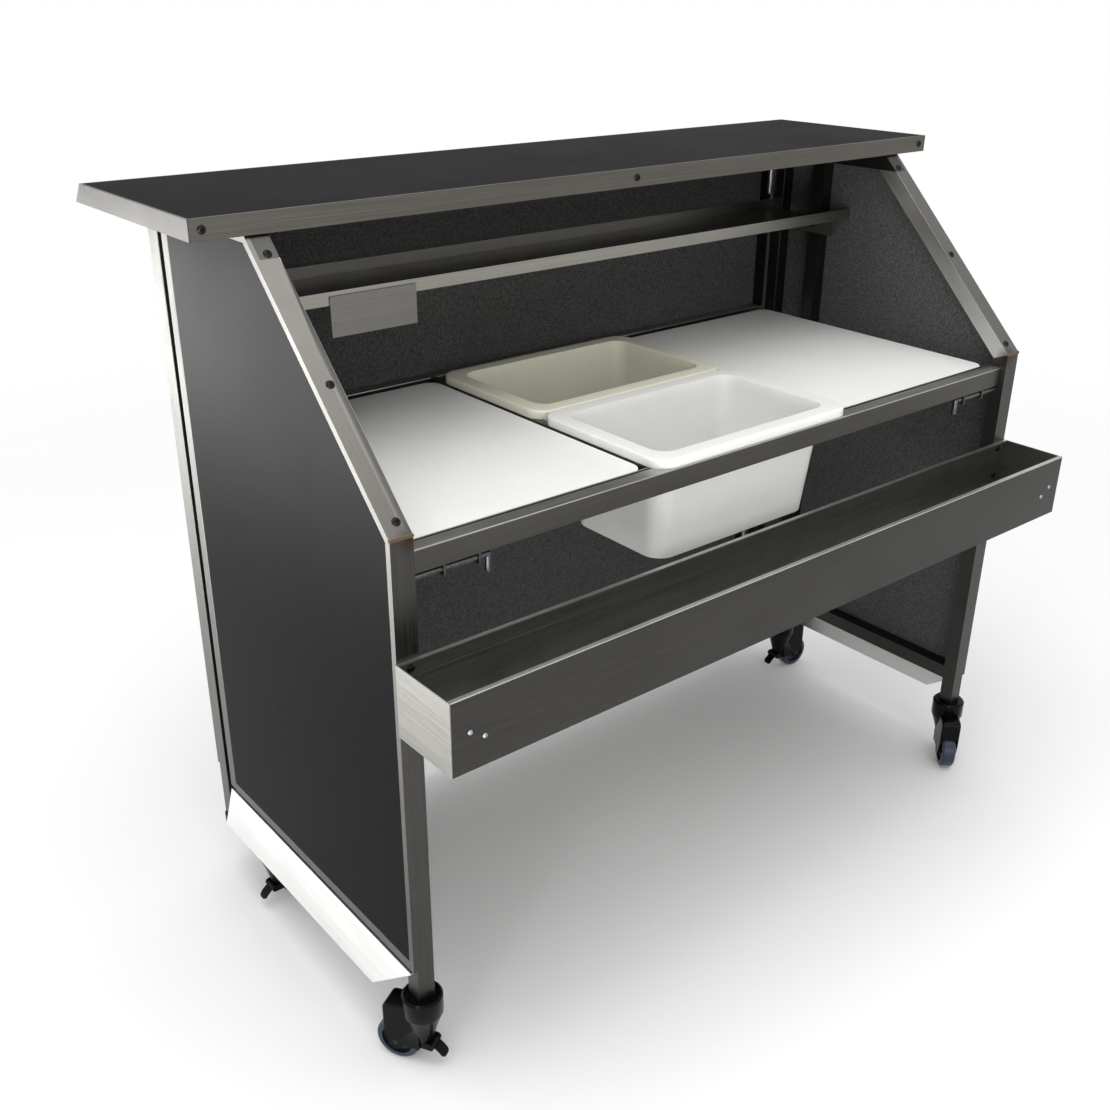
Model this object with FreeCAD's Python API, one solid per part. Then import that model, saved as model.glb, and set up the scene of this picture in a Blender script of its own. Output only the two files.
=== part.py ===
import FreeCAD, Part
import math
import os

# A portable bar: a counter on a front wall and two hinged side walls, with a work deck that holds two
# tubs and two cutting boards, a bottle rail for the bartender and four braked casters.
# Millimetres, +Z up. The customer stands at -Y and the bartender at +Y. Right is +X and left is -X.

Vector = FreeCAD.Vector

# Overall sizes
FRAME_WIDTH = 1220.0
FRAME_DEPTH = 574.0
SLANT_ANGLE = 45.0

# Heights: the deck above the floor, the knee and the shelf above the deck, the counter above the shelf
DECK_HEIGHT = 765.0
KNEE_RISE = 23.0
SHELF_RISE = 189.0
COUNTER_RISE = 120.0

# Counter
COUNTER_THICK = 26.0
COUNTER_DEPTH = 353.0
COUNTER_SIDE_OVERHANG = 68.0
COUNTER_FRONT_OVERHANG = 60.0
COUNTER_FRONT_RAKE = 22.0
TRIM_RETURN = 3.0
TRIM_SCREW_INSET = 16.0
PEG_RADIUS = 6.0
PEG_LENGTH = 20.0

# Tubes, sheets and panels
TUBE = 25.0
TUBE_WALL = 1.5
PANEL_THICK = 6.0
SHEET = 1.5
CORNER_GAP = 12.0
LOOSE_GAP = 0.4

# Tolerance for picking edges
TINY = 0.01

# Visible edge strips of the tubes beside the panels
FRONT_STRIP = 12.0
SIDE_FRONT_STRIP = 20.0
SIDE_EDGE_STRIP = 9.0
SIDE_BOTTOM_STRIP = 14.0
STRIP_RISE = 7.0

# Heights and places in the side walls
SIDE_RAIL_HEIGHT = 165.0
POST_BOTTOM = 120.0
UPRIGHT_SETBACK = 147.0

# Plinth and front wall
PLINTH_BOTTOM = 100.0
PLINTH_TOP = 194.0
PLINTH_SIDE_INSET = 8.0
FRONT_RAIL_HEIGHT = 147.0
FOOT_RADIUS = 18.0
FOOT_HEIGHT = 18.0
FOOT_ROUND = 7.0

# Kick plates
KICK_HEIGHT = 61.0
KICK_RAKE = 16.0
KICK_REAR_CUT = 75.0
KICK_REAR_GAP = 8.0
NOTCH_GAP = 1.0

# Deck
DECK_RAIL_HEIGHT = 30.0
DECK_RAIL_DEPTH = 21.0
DECK_RAIL_SETBACK = 8.0
LEDGE_DROP = 14.0
LEDGE_THICK = 3.0
LEDGE_WIDTH = 22.0
LEDGE_RIB = 2.0
LEDGE_RIB_GAP = 4.0
CROSS_RAIL_WIDTH = 13.0
BOARD_THICK = 12.7
BOARD_GAP = 3.0
BOARD_FRONT_GAP = 14.0
BOARD_CORNER = 22.0
BOARD_EDGE = 1.5

# Tubs
TUB_LENGTH = 384.0
TUB_WIDTH = 254.0
TUB_RIM_WIDTH = 22.0
TUB_RIM_HEIGHT = 12.7
TUB_DEPTH = 165.0
TUB_TAPER = 14.0
TUB_WALL = 3.0
TUB_FLOOR = 4.0
TUB_CORNER = 28.0
TUB_RIM_EDGE = 3.0
TUB_GAP = 2.0
TUB_SIDE_GAP = 1.0

# Latch pins under the deck
LATCH_RADIUS = 4.0
LATCH_REACH = 13.0
LATCH_LENGTH = 124.0
LATCH_HANDLE = 21.0
LATCH_DROP = 6.5
LATCH_BACKSET = 6.0
GUIDE_WIDTH = 3.0
GUIDE_INSETS = (44.0, 94.0)
GUIDE_EDGE = 4.0

# Upper shelf
SHELF_REACH = 206.0
SHELF_LIP = 18.0
SHELF_HEM = 4.0
SHELF_FLANGE = 30.0
SHELF_FLANGE_LENGTH = 90.0
SHELF_FRONT_GAP = 2.0
SHELF_WING_GAP = 1.0
PLATE_LENGTH = 134.0
PLATE_DROP = 43.0
PLATE_LAP = 12.0
PLATE_THICK = 2.0
PLATE_INSET = 119.0

# Bottle rail behind the rear posts
BOTTLE_RAIL_HEIGHT = 537.0
BOTTLE_RAIL_TALL = 98.0
BOTTLE_RAIL_DEPTH = 108.0
BOTTLE_RAIL_HEM = 6.0
CAP_TAB = 54.0
CAP_TAB_MARGIN = 10.0
RIVET_RADIUS = 3.5
RIVET_SHANK = 1.6
RIVET_HEAD = 2.0
RIVET_INSETS = (25.0, 45.0)
RIVET_DROPS = (47.0, 59.0)
RAIL_SCREW_DROPS = (12.0, 60.0)

# Screws
SCREW_HEAD_RADIUS = 5.5
SCREW_HEAD_HEIGHT = 2.8
SCREW_SHANK = 2.0
SCREW_LENGTH = 12.0
TRIM_SCREW_LENGTH = 16.0
SLANT_SCREW_INSETS = (20.0, 198.0, 376.0)
PLINTH_SCREW_PLACES = (65.0, 300.0, 560.0)
KICK_SCREW_INSETS = (55.0, 290.0)
KICK_SCREW_REAR_INSET = 51.0

# Corner hinges
HINGE_BOTTOM_RISE = 95.0
HINGE_MIDDLE_DROP = 145.0
HINGE_TOP_DROP = 64.0
HINGE_LENGTH = 60.0
HINGE_LEAF = 2.0
HINGE_KNUCKLE = 4.0
HINGE_PIN = 2.0
HINGE_FIT = 0.05

# Casters
WHEEL_RADIUS = 32.0
WHEEL_WIDTH = 24.0
WHEEL_SHOULDER = 5.0
HUB_RADIUS = 10.0
RIM_RADIUS = 23.0
WEB_RECESS = 4.0
AXLE_RADIUS = 4.0
TRAIL = 36.0
HOOD_GAP = 3.0
HOOD_SIDE_GAP = 2.0
HOOD_WALL = 3.0
HOOD_SKIRT = 26.0
HOOD_EDGE = 3.5
HOOD_REACH = 54.0
HOOD_TOP_DROP = 18.0
HOOD_SHOULDER_DROP = 23.0
HOOD_CORNER = 9.0
LUG_RADIUS = 11.0
HEAD_RADIUS = 28.0
HEAD_RIM = 30.0
HEAD_EDGE = 3.0
HEAD_FOOT_RADIUS = 11.5
HEAD_BULGE_RADIUS = 18.0
NECK_GAP = 0.3
STEM_RADIUS = 5.5
STEM_FIT = 0.05
STEM_HEAD_RADIUS = 8.0
STEM_HEAD_HEIGHT = 3.0
STEM_SEAT_DROP = 36.0
STEM_LENGTH = 38.0
PEDAL_LENGTH = 25.0
PEDAL_WIDTH = 16.0
PEDAL_THICK = 3.0
PEDAL_CORNER = 5.0
PEDAL_SLOPE = 22.0
PEDAL_BEND = 40.0
PEDAL_PIN = 2.0
PEDAL_PIVOT_REACH = 14.0
PEDAL_PIVOT_HEIGHT = 36.0
PEDAL_SIDE_GAP = 1.0
PEDAL_LUG = 3.5
PEDAL_LUG_RADIUS = 5.5
REAR_RIGHT_TURN = -60.0
REAR_LEFT_TURN = 45.0
FRONT_RIGHT_TURN = 180.0
FRONT_LEFT_TURN = 175.0

# Planes worked out from the sizes above
OVERALL_DEPTH = COUNTER_FRONT_OVERHANG + FRAME_DEPTH + BOTTLE_RAIL_DEPTH + RIVET_HEAD
FRONT_FACE = COUNTER_FRONT_OVERHANG - OVERALL_DEPTH / 2
REAR_FACE = FRONT_FACE + FRAME_DEPTH
KNEE_HEIGHT = DECK_HEIGHT + KNEE_RISE
SHELF_HEIGHT = DECK_HEIGHT + SHELF_RISE
COUNTER_UNDER = SHELF_HEIGHT + COUNTER_RISE
COUNTER_TOP = COUNTER_UNDER + COUNTER_THICK
SIDE_OUT = FRAME_WIDTH / 2
SIDE_SKIN = SIDE_OUT - PANEL_THICK
SIDE_IN = SIDE_SKIN - TUBE
SIDE_MID = SIDE_SKIN - TUBE / 2
FRONT_TUBE_FACE = FRONT_FACE + PANEL_THICK
FRONT_TUBE_BACK = FRONT_TUBE_FACE + TUBE
SIDE_FRONT = FRONT_TUBE_BACK + CORNER_GAP
UPRIGHT_MID = FRONT_FACE + UPRIGHT_SETBACK
REAR_POST_MID = REAR_FACE - TUBE / 2
TOP_RAIL_UNDER = COUNTER_UNDER - TUBE
STRIP_BOTTOM = SIDE_RAIL_HEIGHT + STRIP_RISE
PANEL_BOTTOM = STRIP_BOTTOM + SIDE_BOTTOM_STRIP

parts = {}


def box(x0, x1, y0, y1, z0, z1):
    return Part.makeBox(x1 - x0, y1 - y0, z1 - z0, Vector(x0, y0, z0))


def cylinder(radius, start, end):
    axis = end - start
    return Part.makeCylinder(radius, axis.Length, start, axis)


def polygon_face(points):
    return Part.Face(Part.makePolygon(points + points[:1]))


def prism(outline, x0, x1):
    """A (y, z) outline pushed along X from x0 to x1."""
    face = polygon_face([Vector(x0, y, z) for y, z in outline])
    return face.extrude(Vector(x1 - x0, 0, 0))


def shrink(outline, wall):
    """A convex counter-clockwise outline moved in by the wall on every side."""
    lines = []
    for (ay, az), (by, bz) in zip(outline, outline[1:] + outline[:1]):
        length = math.hypot(by - ay, bz - az)
        normal = (-(bz - az) / length, (by - ay) / length)
        lines.append((normal, normal[0] * ay + normal[1] * az + wall))
    corners = []
    for (n, c), (m, d) in zip(lines[-1:] + lines[:-1], lines):
        cross = n[0] * m[1] - n[1] * m[0]
        corners.append(((c * m[1] - d * n[1]) / cross, (d * n[0] - c * m[0]) / cross))
    return corners


def hollow_prism(outline, x0, x1):
    """A closed tube whose long faces, side faces and end plates are all one wall thick."""
    inside = prism(shrink(outline, TUBE_WALL), x0 + TUBE_WALL, x1 - TUBE_WALL)
    return prism(outline, x0, x1).cut(inside)


def hollow_box(x0, x1, y0, y1, z0, z1):
    return hollow_prism([(y0, z0), (y1, z0), (y1, z1), (y0, z1)], x0, x1)


def rounded_wire(mid_y, length, width, corner, z):
    """A rounded rectangle about (0, mid_y), length along X and width along Y."""
    half_x = length / 2
    half_y = width / 2
    diagonal = corner * (1 - math.sqrt(0.5))
    edges = []
    for sx, sy in ((1, 1), (-1, 1), (-1, -1), (1, -1)):
        on_x = Vector(sx * half_x, mid_y + sy * (half_y - corner), z)
        on_y = Vector(sx * (half_x - corner), mid_y + sy * half_y, z)
        middle = Vector(sx * (half_x - diagonal), mid_y + sy * (half_y - diagonal), z)
        start, end = (on_x, on_y) if sx == sy else (on_y, on_x)
        if edges:
            edges.append(Part.LineSegment(edges[-1].Vertexes[-1].Point, start).toShape())
        edges.append(Part.Arc(start, middle, end).toShape())
    edges.append(Part.LineSegment(edges[-1].Vertexes[-1].Point, edges[0].Vertexes[0].Point).toShape())
    return Part.Wire(edges)


def mirrored(shape):
    return shape.mirror(Vector(0, 0, 0), Vector(1, 0, 0))


def add_pair(name, shape):
    """The right piece as modelled and its mirror image on the left."""
    parts["right_" + name] = shape
    parts["left_" + name] = mirrored(shape)


def screw(seat, into, length):
    """A domed screw whose head sits on the seat point and whose shank runs along the into direction."""
    ball_radius = (SCREW_HEAD_RADIUS ** 2 + SCREW_HEAD_HEIGHT ** 2) / (2 * SCREW_HEAD_HEIGHT)
    half_turn = math.asin(SCREW_HEAD_RADIUS / ball_radius) / 2
    ball_mid = ball_radius - SCREW_HEAD_HEIGHT
    rim = Vector(SCREW_HEAD_RADIUS, 0, 0)
    crown = Vector(0, 0, -SCREW_HEAD_HEIGHT)
    shoulder = Vector(ball_radius * math.sin(half_turn), 0, ball_mid - ball_radius * math.cos(half_turn))
    corners = [rim, Vector(SCREW_SHANK, 0, 0), Vector(SCREW_SHANK, 0, length), Vector(0, 0, length), crown]
    edges = [Part.Arc(crown, shoulder, rim).toShape()]
    edges += [Part.LineSegment(a, b).toShape() for a, b in zip(corners, corners[1:])]
    solid = Part.Face(Part.Wire(edges)).revolve(Vector(0, 0, 0), Vector(0, 0, 1), 360)
    solid.Placement = FreeCAD.Placement(seat, FreeCAD.Rotation(Vector(0, 0, 1), Vector(into)))
    return solid


def add_screw(group, seat, into, length, through):
    """Puts a screw in the group and drills its hole in each part that it goes through."""
    into = Vector(into).normalize()
    group.append(screw(seat, into, length))
    hole = cylinder(SCREW_SHANK + LOOSE_GAP / 2, seat - into, seat + into * (length + 1))
    for name in through:
        parts[name] = parts[name].cut(hole)


def slant_y(z, inset):
    """Y of the side wall's slanted edge at height z, moved in square to the edge by the inset."""
    angle = math.radians(SLANT_ANGLE)
    return REAR_FACE - (z - KNEE_HEIGHT) / math.tan(angle) - inset / math.sin(angle)


def slant_z(y, inset):
    """Height of the same slanted edge at y."""
    angle = math.radians(SLANT_ANGLE)
    return KNEE_HEIGHT + (REAR_FACE - y) * math.tan(angle) - inset / math.cos(angle)


def build_front_wall():
    tube_in = SIDE_OUT - TUBE
    post = hollow_box(tube_in, SIDE_OUT, FRONT_TUBE_FACE, FRONT_TUBE_BACK, PLINTH_BOTTOM, COUNTER_UNDER)
    strip = box(SIDE_OUT - FRONT_STRIP, SIDE_OUT, FRONT_FACE, FRONT_TUBE_FACE, PLINTH_TOP, COUNTER_UNDER)
    add_pair("front_post", post.fuse(strip))
    for name, z in (("front_top_rail", TOP_RAIL_UNDER), ("front_bottom_rail", FRONT_RAIL_HEIGHT)):
        parts[name] = hollow_box(-tube_in, tube_in, FRONT_TUBE_FACE, FRONT_TUBE_BACK, z, z + TUBE)
    panel_edge = SIDE_OUT - FRONT_STRIP
    parts["front_panel"] = box(-panel_edge, panel_edge, FRONT_FACE, FRONT_TUBE_FACE,
                               PLINTH_TOP, COUNTER_UNDER)
    plinth_edge = SIDE_OUT - PLINTH_SIDE_INSET
    tray = box(-plinth_edge, plinth_edge, FRONT_FACE, FRONT_TUBE_FACE, PLINTH_BOTTOM, PLINTH_TOP)
    inside = box(-plinth_edge + SHEET, plinth_edge - SHEET, FRONT_FACE + SHEET, FRONT_TUBE_FACE,
                 PLINTH_BOTTOM + SHEET, PLINTH_TOP - SHEET)
    parts["plinth"] = tray.cut(inside)
    feet = []
    for side in (1, -1):
        top = Vector(side * (SIDE_OUT - TUBE / 2), FRONT_TUBE_FACE + TUBE / 2, PLINTH_BOTTOM)
        foot = cylinder(FOOT_RADIUS, top - Vector(0, 0, FOOT_HEIGHT), top)
        lower_edge = [e for e in foot.Edges if e.BoundBox.ZMax < PLINTH_BOTTOM - FOOT_HEIGHT + TINY]
        feet.append(foot.makeFillet(FOOT_ROUND, lower_edge))
    parts["front_post_feet"] = Part.makeCompound(feet)


def build_side_walls():
    front_back = SIDE_FRONT + TUBE
    rear_in = REAR_FACE - TUBE
    strip_in = REAR_FACE - SIDE_EDGE_STRIP
    strip_front = SIDE_FRONT + SIDE_FRONT_STRIP
    strip_under = COUNTER_UNDER - SIDE_EDGE_STRIP

    post = hollow_box(SIDE_IN, SIDE_SKIN, SIDE_FRONT, front_back, SIDE_RAIL_HEIGHT, COUNTER_UNDER)
    strip = box(SIDE_SKIN, SIDE_OUT, SIDE_FRONT, strip_front, STRIP_BOTTOM, COUNTER_UNDER)
    add_pair("side_front_post", post.fuse(strip))

    upright_front = UPRIGHT_MID - TUBE / 2
    upright_back = UPRIGHT_MID + TUBE / 2
    stem_top = POST_BOTTOM + STEM_LENGTH
    upright = hollow_box(SIDE_IN, SIDE_SKIN, upright_front, upright_back, POST_BOTTOM, TOP_RAIL_UNDER)
    upright_bore = cylinder(STEM_RADIUS, Vector(SIDE_MID, UPRIGHT_MID, POST_BOTTOM),
                            Vector(SIDE_MID, UPRIGHT_MID, stem_top))
    add_pair("upright", upright.cut(upright_bore))

    rear_outline = [(rear_in, POST_BOTTOM), (REAR_FACE, POST_BOTTOM), (REAR_FACE, KNEE_HEIGHT),
                    (rear_in, slant_z(rear_in, TUBE))]
    rear_strip = [(strip_in, STRIP_BOTTOM), (REAR_FACE, STRIP_BOTTOM), (REAR_FACE, KNEE_HEIGHT),
                  (strip_in, slant_z(strip_in, SIDE_EDGE_STRIP))]
    rear_bore = cylinder(STEM_RADIUS, Vector(SIDE_MID, REAR_POST_MID, POST_BOTTOM),
                         Vector(SIDE_MID, REAR_POST_MID, stem_top))
    rear_post = hollow_prism(rear_outline, SIDE_IN, SIDE_SKIN).cut(rear_bore)
    add_pair("rear_post", rear_post.fuse(prism(rear_strip, SIDE_SKIN, SIDE_OUT)))

    slant_outline = [(rear_in, slant_z(rear_in, TUBE)), (REAR_FACE, KNEE_HEIGHT),
                     (slant_y(TOP_RAIL_UNDER, 0), TOP_RAIL_UNDER),
                     (slant_y(TOP_RAIL_UNDER, TUBE), TOP_RAIL_UNDER)]
    slant_strip = [(strip_in, slant_z(strip_in, SIDE_EDGE_STRIP)), (REAR_FACE, KNEE_HEIGHT),
                   (slant_y(COUNTER_UNDER, 0), COUNTER_UNDER),
                   (slant_y(COUNTER_UNDER, SIDE_EDGE_STRIP), COUNTER_UNDER)]
    slant = hollow_prism(slant_outline, SIDE_IN, SIDE_SKIN)
    add_pair("slant_tube", slant.fuse(prism(slant_strip, SIDE_SKIN, SIDE_OUT)))

    top_outline = [(front_back, TOP_RAIL_UNDER), (slant_y(TOP_RAIL_UNDER, 0), TOP_RAIL_UNDER),
                   (slant_y(COUNTER_UNDER, 0), COUNTER_UNDER), (front_back, COUNTER_UNDER)]
    top_strip = [(strip_front, strip_under), (slant_y(strip_under, SIDE_EDGE_STRIP), strip_under),
                 (slant_y(COUNTER_UNDER, SIDE_EDGE_STRIP), COUNTER_UNDER), (strip_front, COUNTER_UNDER)]
    top_rail = hollow_prism(top_outline, SIDE_IN, SIDE_SKIN)
    add_pair("side_top_rail", top_rail.fuse(prism(top_strip, SIDE_SKIN, SIDE_OUT)))

    rail_top = SIDE_RAIL_HEIGHT + TUBE
    short_rail = hollow_box(SIDE_IN, SIDE_SKIN, front_back, upright_front, SIDE_RAIL_HEIGHT, rail_top)
    long_rail = hollow_box(SIDE_IN, SIDE_SKIN, upright_back, rear_in, SIDE_RAIL_HEIGHT, rail_top)
    rail_strip = box(SIDE_SKIN, SIDE_OUT, strip_front, strip_in, STRIP_BOTTOM, PANEL_BOTTOM)
    add_pair("side_bottom_rail", rail_strip.fuse([short_rail, long_rail]))

    panel_outline = [(strip_front, PANEL_BOTTOM), (strip_in, PANEL_BOTTOM),
                     (strip_in, slant_z(strip_in, SIDE_EDGE_STRIP)),
                     (slant_y(strip_under, SIDE_EDGE_STRIP), strip_under), (strip_front, strip_under)]
    add_pair("side_panel", prism(panel_outline, SIDE_SKIN, SIDE_OUT))


def build_kick_plates():
    top = SIDE_RAIL_HEIGHT
    bottom = top - KICK_HEIGHT
    rear = REAR_FACE - KICK_REAR_GAP
    skew = SHEET / math.cos(math.atan2(KICK_RAKE, KICK_HEIGHT))
    outline = [(SIDE_IN, top), (SIDE_OUT, top), (SIDE_OUT + KICK_RAKE, bottom),
               (SIDE_OUT + KICK_RAKE - skew, bottom), (SIDE_OUT - skew, top - SHEET),
               (SIDE_IN, top - SHEET)]
    sheet = polygon_face([Vector(x, SIDE_FRONT, z) for x, z in outline])
    sheet = sheet.extrude(Vector(0, rear - SIDE_FRONT, 0))
    end_outline = [(SIDE_OUT - skew, top), (SIDE_OUT, top), (SIDE_OUT + KICK_RAKE, bottom),
                   (SIDE_OUT - skew, bottom)]
    end = polygon_face([Vector(x, SIDE_FRONT, z) for x, z in end_outline])
    sheet = sheet.fuse(end.extrude(Vector(0, SHEET, 0)))
    slope_cut = prism([(rear, top - SHEET), (rear - KICK_REAR_CUT, bottom), (rear, bottom)],
                      SIDE_IN, SIDE_OUT + KICK_RAKE)
    notch_out = SIDE_SKIN + NOTCH_GAP
    notch_half = TUBE / 2 + NOTCH_GAP
    upright_notch = box(SIDE_IN, notch_out, UPRIGHT_MID - notch_half, UPRIGHT_MID + notch_half, bottom, top)
    rear_notch = box(SIDE_IN, notch_out, REAR_POST_MID - notch_half, REAR_FACE, bottom, top)
    add_pair("kick_plate", sheet.cut([slope_cut, upright_notch, rear_notch]))


def build_hinges():
    """Three butt hinges in each corner gap, with the pin line just inside the side wall."""
    solids = []
    pin_x = SIDE_IN - HINGE_KNUCKLE
    pin_y = FRONT_TUBE_BACK + CORNER_GAP / 2
    third = HINGE_LENGTH / 3
    heights = (SIDE_RAIL_HEIGHT + HINGE_BOTTOM_RISE, DECK_HEIGHT - HINGE_MIDDLE_DROP,
               COUNTER_UNDER - HINGE_TOP_DROP)
    for middle in heights:
        base = middle - HINGE_LENGTH / 2
        low_end = Vector(pin_x, pin_y, base)
        high_end = Vector(pin_x, pin_y, base + HINGE_LENGTH)
        bore = cylinder(HINGE_PIN + HINGE_FIT, low_end, high_end)
        front_leaf = box(pin_x, SIDE_SKIN, FRONT_TUBE_BACK, FRONT_TUBE_BACK + HINGE_LEAF,
                         base, base + HINGE_LENGTH)
        side_leaf = box(pin_x, SIDE_SKIN, SIDE_FRONT - HINGE_LEAF, SIDE_FRONT, base, base + HINGE_LENGTH)
        knuckles = []
        for step in range(3):
            z = base + step * third
            knuckle = cylinder(HINGE_KNUCKLE, Vector(pin_x, pin_y, z + LOOSE_GAP / 2),
                               Vector(pin_x, pin_y, z + third - LOOSE_GAP / 2))
            reach = -1 if step != 1 else 1
            leaf_y = pin_y + reach * CORNER_GAP / 2
            arm = box(pin_x, pin_x + HINGE_LEAF, min(pin_y, leaf_y), max(pin_y, leaf_y),
                      z + LOOSE_GAP / 2, z + third - LOOSE_GAP / 2)
            knuckles.append(knuckle.fuse(arm))
        solids.append(front_leaf.fuse([knuckles[0], knuckles[2]]).cut(bore))
        solids.append(side_leaf.fuse(knuckles[1]).cut(bore))
        solids.append(cylinder(HINGE_PIN, low_end, high_end))
    parts["corner_hinges"] = Part.makeCompound(solids + [mirrored(s) for s in solids])


def build_deck():
    rail_under = DECK_HEIGHT - DECK_RAIL_HEIGHT
    rail_back = REAR_FACE - DECK_RAIL_SETBACK
    rail_front = rail_back - DECK_RAIL_DEPTH
    ledge_top = DECK_HEIGHT - LEDGE_DROP
    ledge_under = ledge_top - LEDGE_THICK
    cross_out = TUB_LENGTH / 2 + TUB_SIDE_GAP
    cross_in = cross_out - CROSS_RAIL_WIDTH
    rear_ledge_front = rail_front - LEDGE_WIDTH
    front_ledge_back = FRONT_TUBE_BACK + LEDGE_WIDTH
    rib_back = rail_front - LEDGE_RIB_GAP

    rear_rail = hollow_box(-SIDE_IN, SIDE_IN, rail_front, rail_back, rail_under, DECK_HEIGHT)
    front_in = SIDE_OUT - TUBE
    front_rail = hollow_box(-front_in, front_in, FRONT_TUBE_FACE, FRONT_TUBE_BACK, rail_under, DECK_HEIGHT)
    ledge = box(cross_out, SIDE_IN, rear_ledge_front, rail_front, ledge_under, ledge_top)
    rib = box(cross_out, SIDE_IN, rib_back - LEDGE_RIB, rib_back, ledge_top, DECK_HEIGHT)
    rear_ledge = ledge.fuse(rib)
    front_ledge = box(cross_out, SIDE_IN - LOOSE_GAP, FRONT_TUBE_BACK, front_ledge_back,
                      ledge_under, ledge_top)

    latch_y = rail_back - LATCH_BACKSET
    latch_z = rail_under - LATCH_DROP
    guides = []
    for inset in GUIDE_INSETS:
        x1 = SIDE_IN - inset
        guides.append(box(x1 - GUIDE_WIDTH, x1, latch_y - LATCH_RADIUS - GUIDE_EDGE, rail_back,
                          latch_z - LATCH_RADIUS - GUIDE_EDGE, rail_under))
    bore_end = Vector(SIDE_IN + LATCH_REACH + LOOSE_GAP, latch_y, latch_z)
    guide_bore = cylinder(LATCH_RADIUS + LOOSE_GAP, Vector(0, latch_y, latch_z), bore_end)
    guides = [g.cut(guide_bore) for g in guides]
    right_pieces = [rear_ledge] + guides
    parts["deck_rear_rail"] = rear_rail.fuse(right_pieces + [mirrored(p) for p in right_pieces])
    parts["deck_front_rail"] = front_rail.fuse([front_ledge, mirrored(front_ledge)])

    cross = hollow_box(cross_in, cross_out, FRONT_TUBE_BACK, rail_front, rail_under, DECK_HEIGHT)
    cross_ledge = box(cross_out, cross_out + LEDGE_WIDTH, front_ledge_back, rear_ledge_front,
                      ledge_under, ledge_top)
    add_pair("deck_cross_rail", cross.fuse(cross_ledge))

    handle_x = SIDE_IN + LATCH_REACH - LATCH_LENGTH
    elbow = Vector(handle_x, latch_y, latch_z)
    rod = cylinder(LATCH_RADIUS, elbow, Vector(SIDE_IN + LATCH_REACH, latch_y, latch_z))
    grip_end = elbow - Vector(0, 0, LATCH_HANDLE)
    pin = rod.fuse([Part.makeSphere(LATCH_RADIUS, elbow), cylinder(LATCH_RADIUS, grip_end, elbow),
                    Part.makeSphere(LATCH_RADIUS, grip_end)])
    add_pair("latch_pin", pin.removeSplitter())
    for name, bore in (("right_rear_post", guide_bore), ("left_rear_post", mirrored(guide_bore))):
        parts[name] = parts[name].cut(bore)

    board_rear = rib_back - LEDGE_RIB - BOARD_GAP / 2
    board_front = FRONT_TUBE_BACK + BOARD_FRONT_GAP
    board = box(cross_out + BOARD_GAP, SIDE_IN - BOARD_GAP, board_front, board_rear,
                ledge_top, ledge_top + BOARD_THICK)
    upright_edges = [e for e in board.Edges if e.BoundBox.ZLength > BOARD_THICK / 2]
    board = board.makeFillet(BOARD_CORNER, upright_edges)
    rims = [e for e in board.Edges if e.BoundBox.ZLength < TINY]
    add_pair("cutting_board", board.makeFillet(BOARD_EDGE, rims))


def build_tubs():
    rim_under = DECK_HEIGHT
    rim_top = rim_under + TUB_RIM_HEIGHT
    floor_under = rim_top - TUB_DEPTH
    rear_edge = REAR_FACE - DECK_RAIL_SETBACK - TUB_GAP
    wall_length = TUB_LENGTH - 2 * TUB_RIM_WIDTH
    wall_width = TUB_WIDTH - 2 * TUB_RIM_WIDTH
    rear_mid = rear_edge - TUB_WIDTH / 2
    for name, mid in (("rear_tub", rear_mid), ("front_tub", rear_mid - TUB_WIDTH - TUB_GAP)):
        shells = []
        for inset, floor in ((0, floor_under), (TUB_WALL, floor_under + TUB_FLOOR)):
            corner = TUB_CORNER - inset
            low_inset = 2 * (inset + TUB_TAPER)
            low = rounded_wire(mid, wall_length - low_inset, wall_width - low_inset, corner, floor)
            high = rounded_wire(mid, wall_length - 2 * inset, wall_width - 2 * inset, corner, rim_top)
            shells.append(Part.makeLoft([low, high], True, True))
        outside, inside = shells
        rim = Part.Face(rounded_wire(mid, TUB_LENGTH, TUB_WIDTH, TUB_CORNER, rim_under))
        rim = rim.extrude(Vector(0, 0, TUB_RIM_HEIGHT))
        top_edges = [e for e in rim.Edges if e.BoundBox.ZMin > rim_top - TINY]
        rim = rim.makeFillet(TUB_RIM_EDGE, top_edges)
        parts[name] = rim.fuse(outside).cut(inside).removeSplitter()


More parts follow.
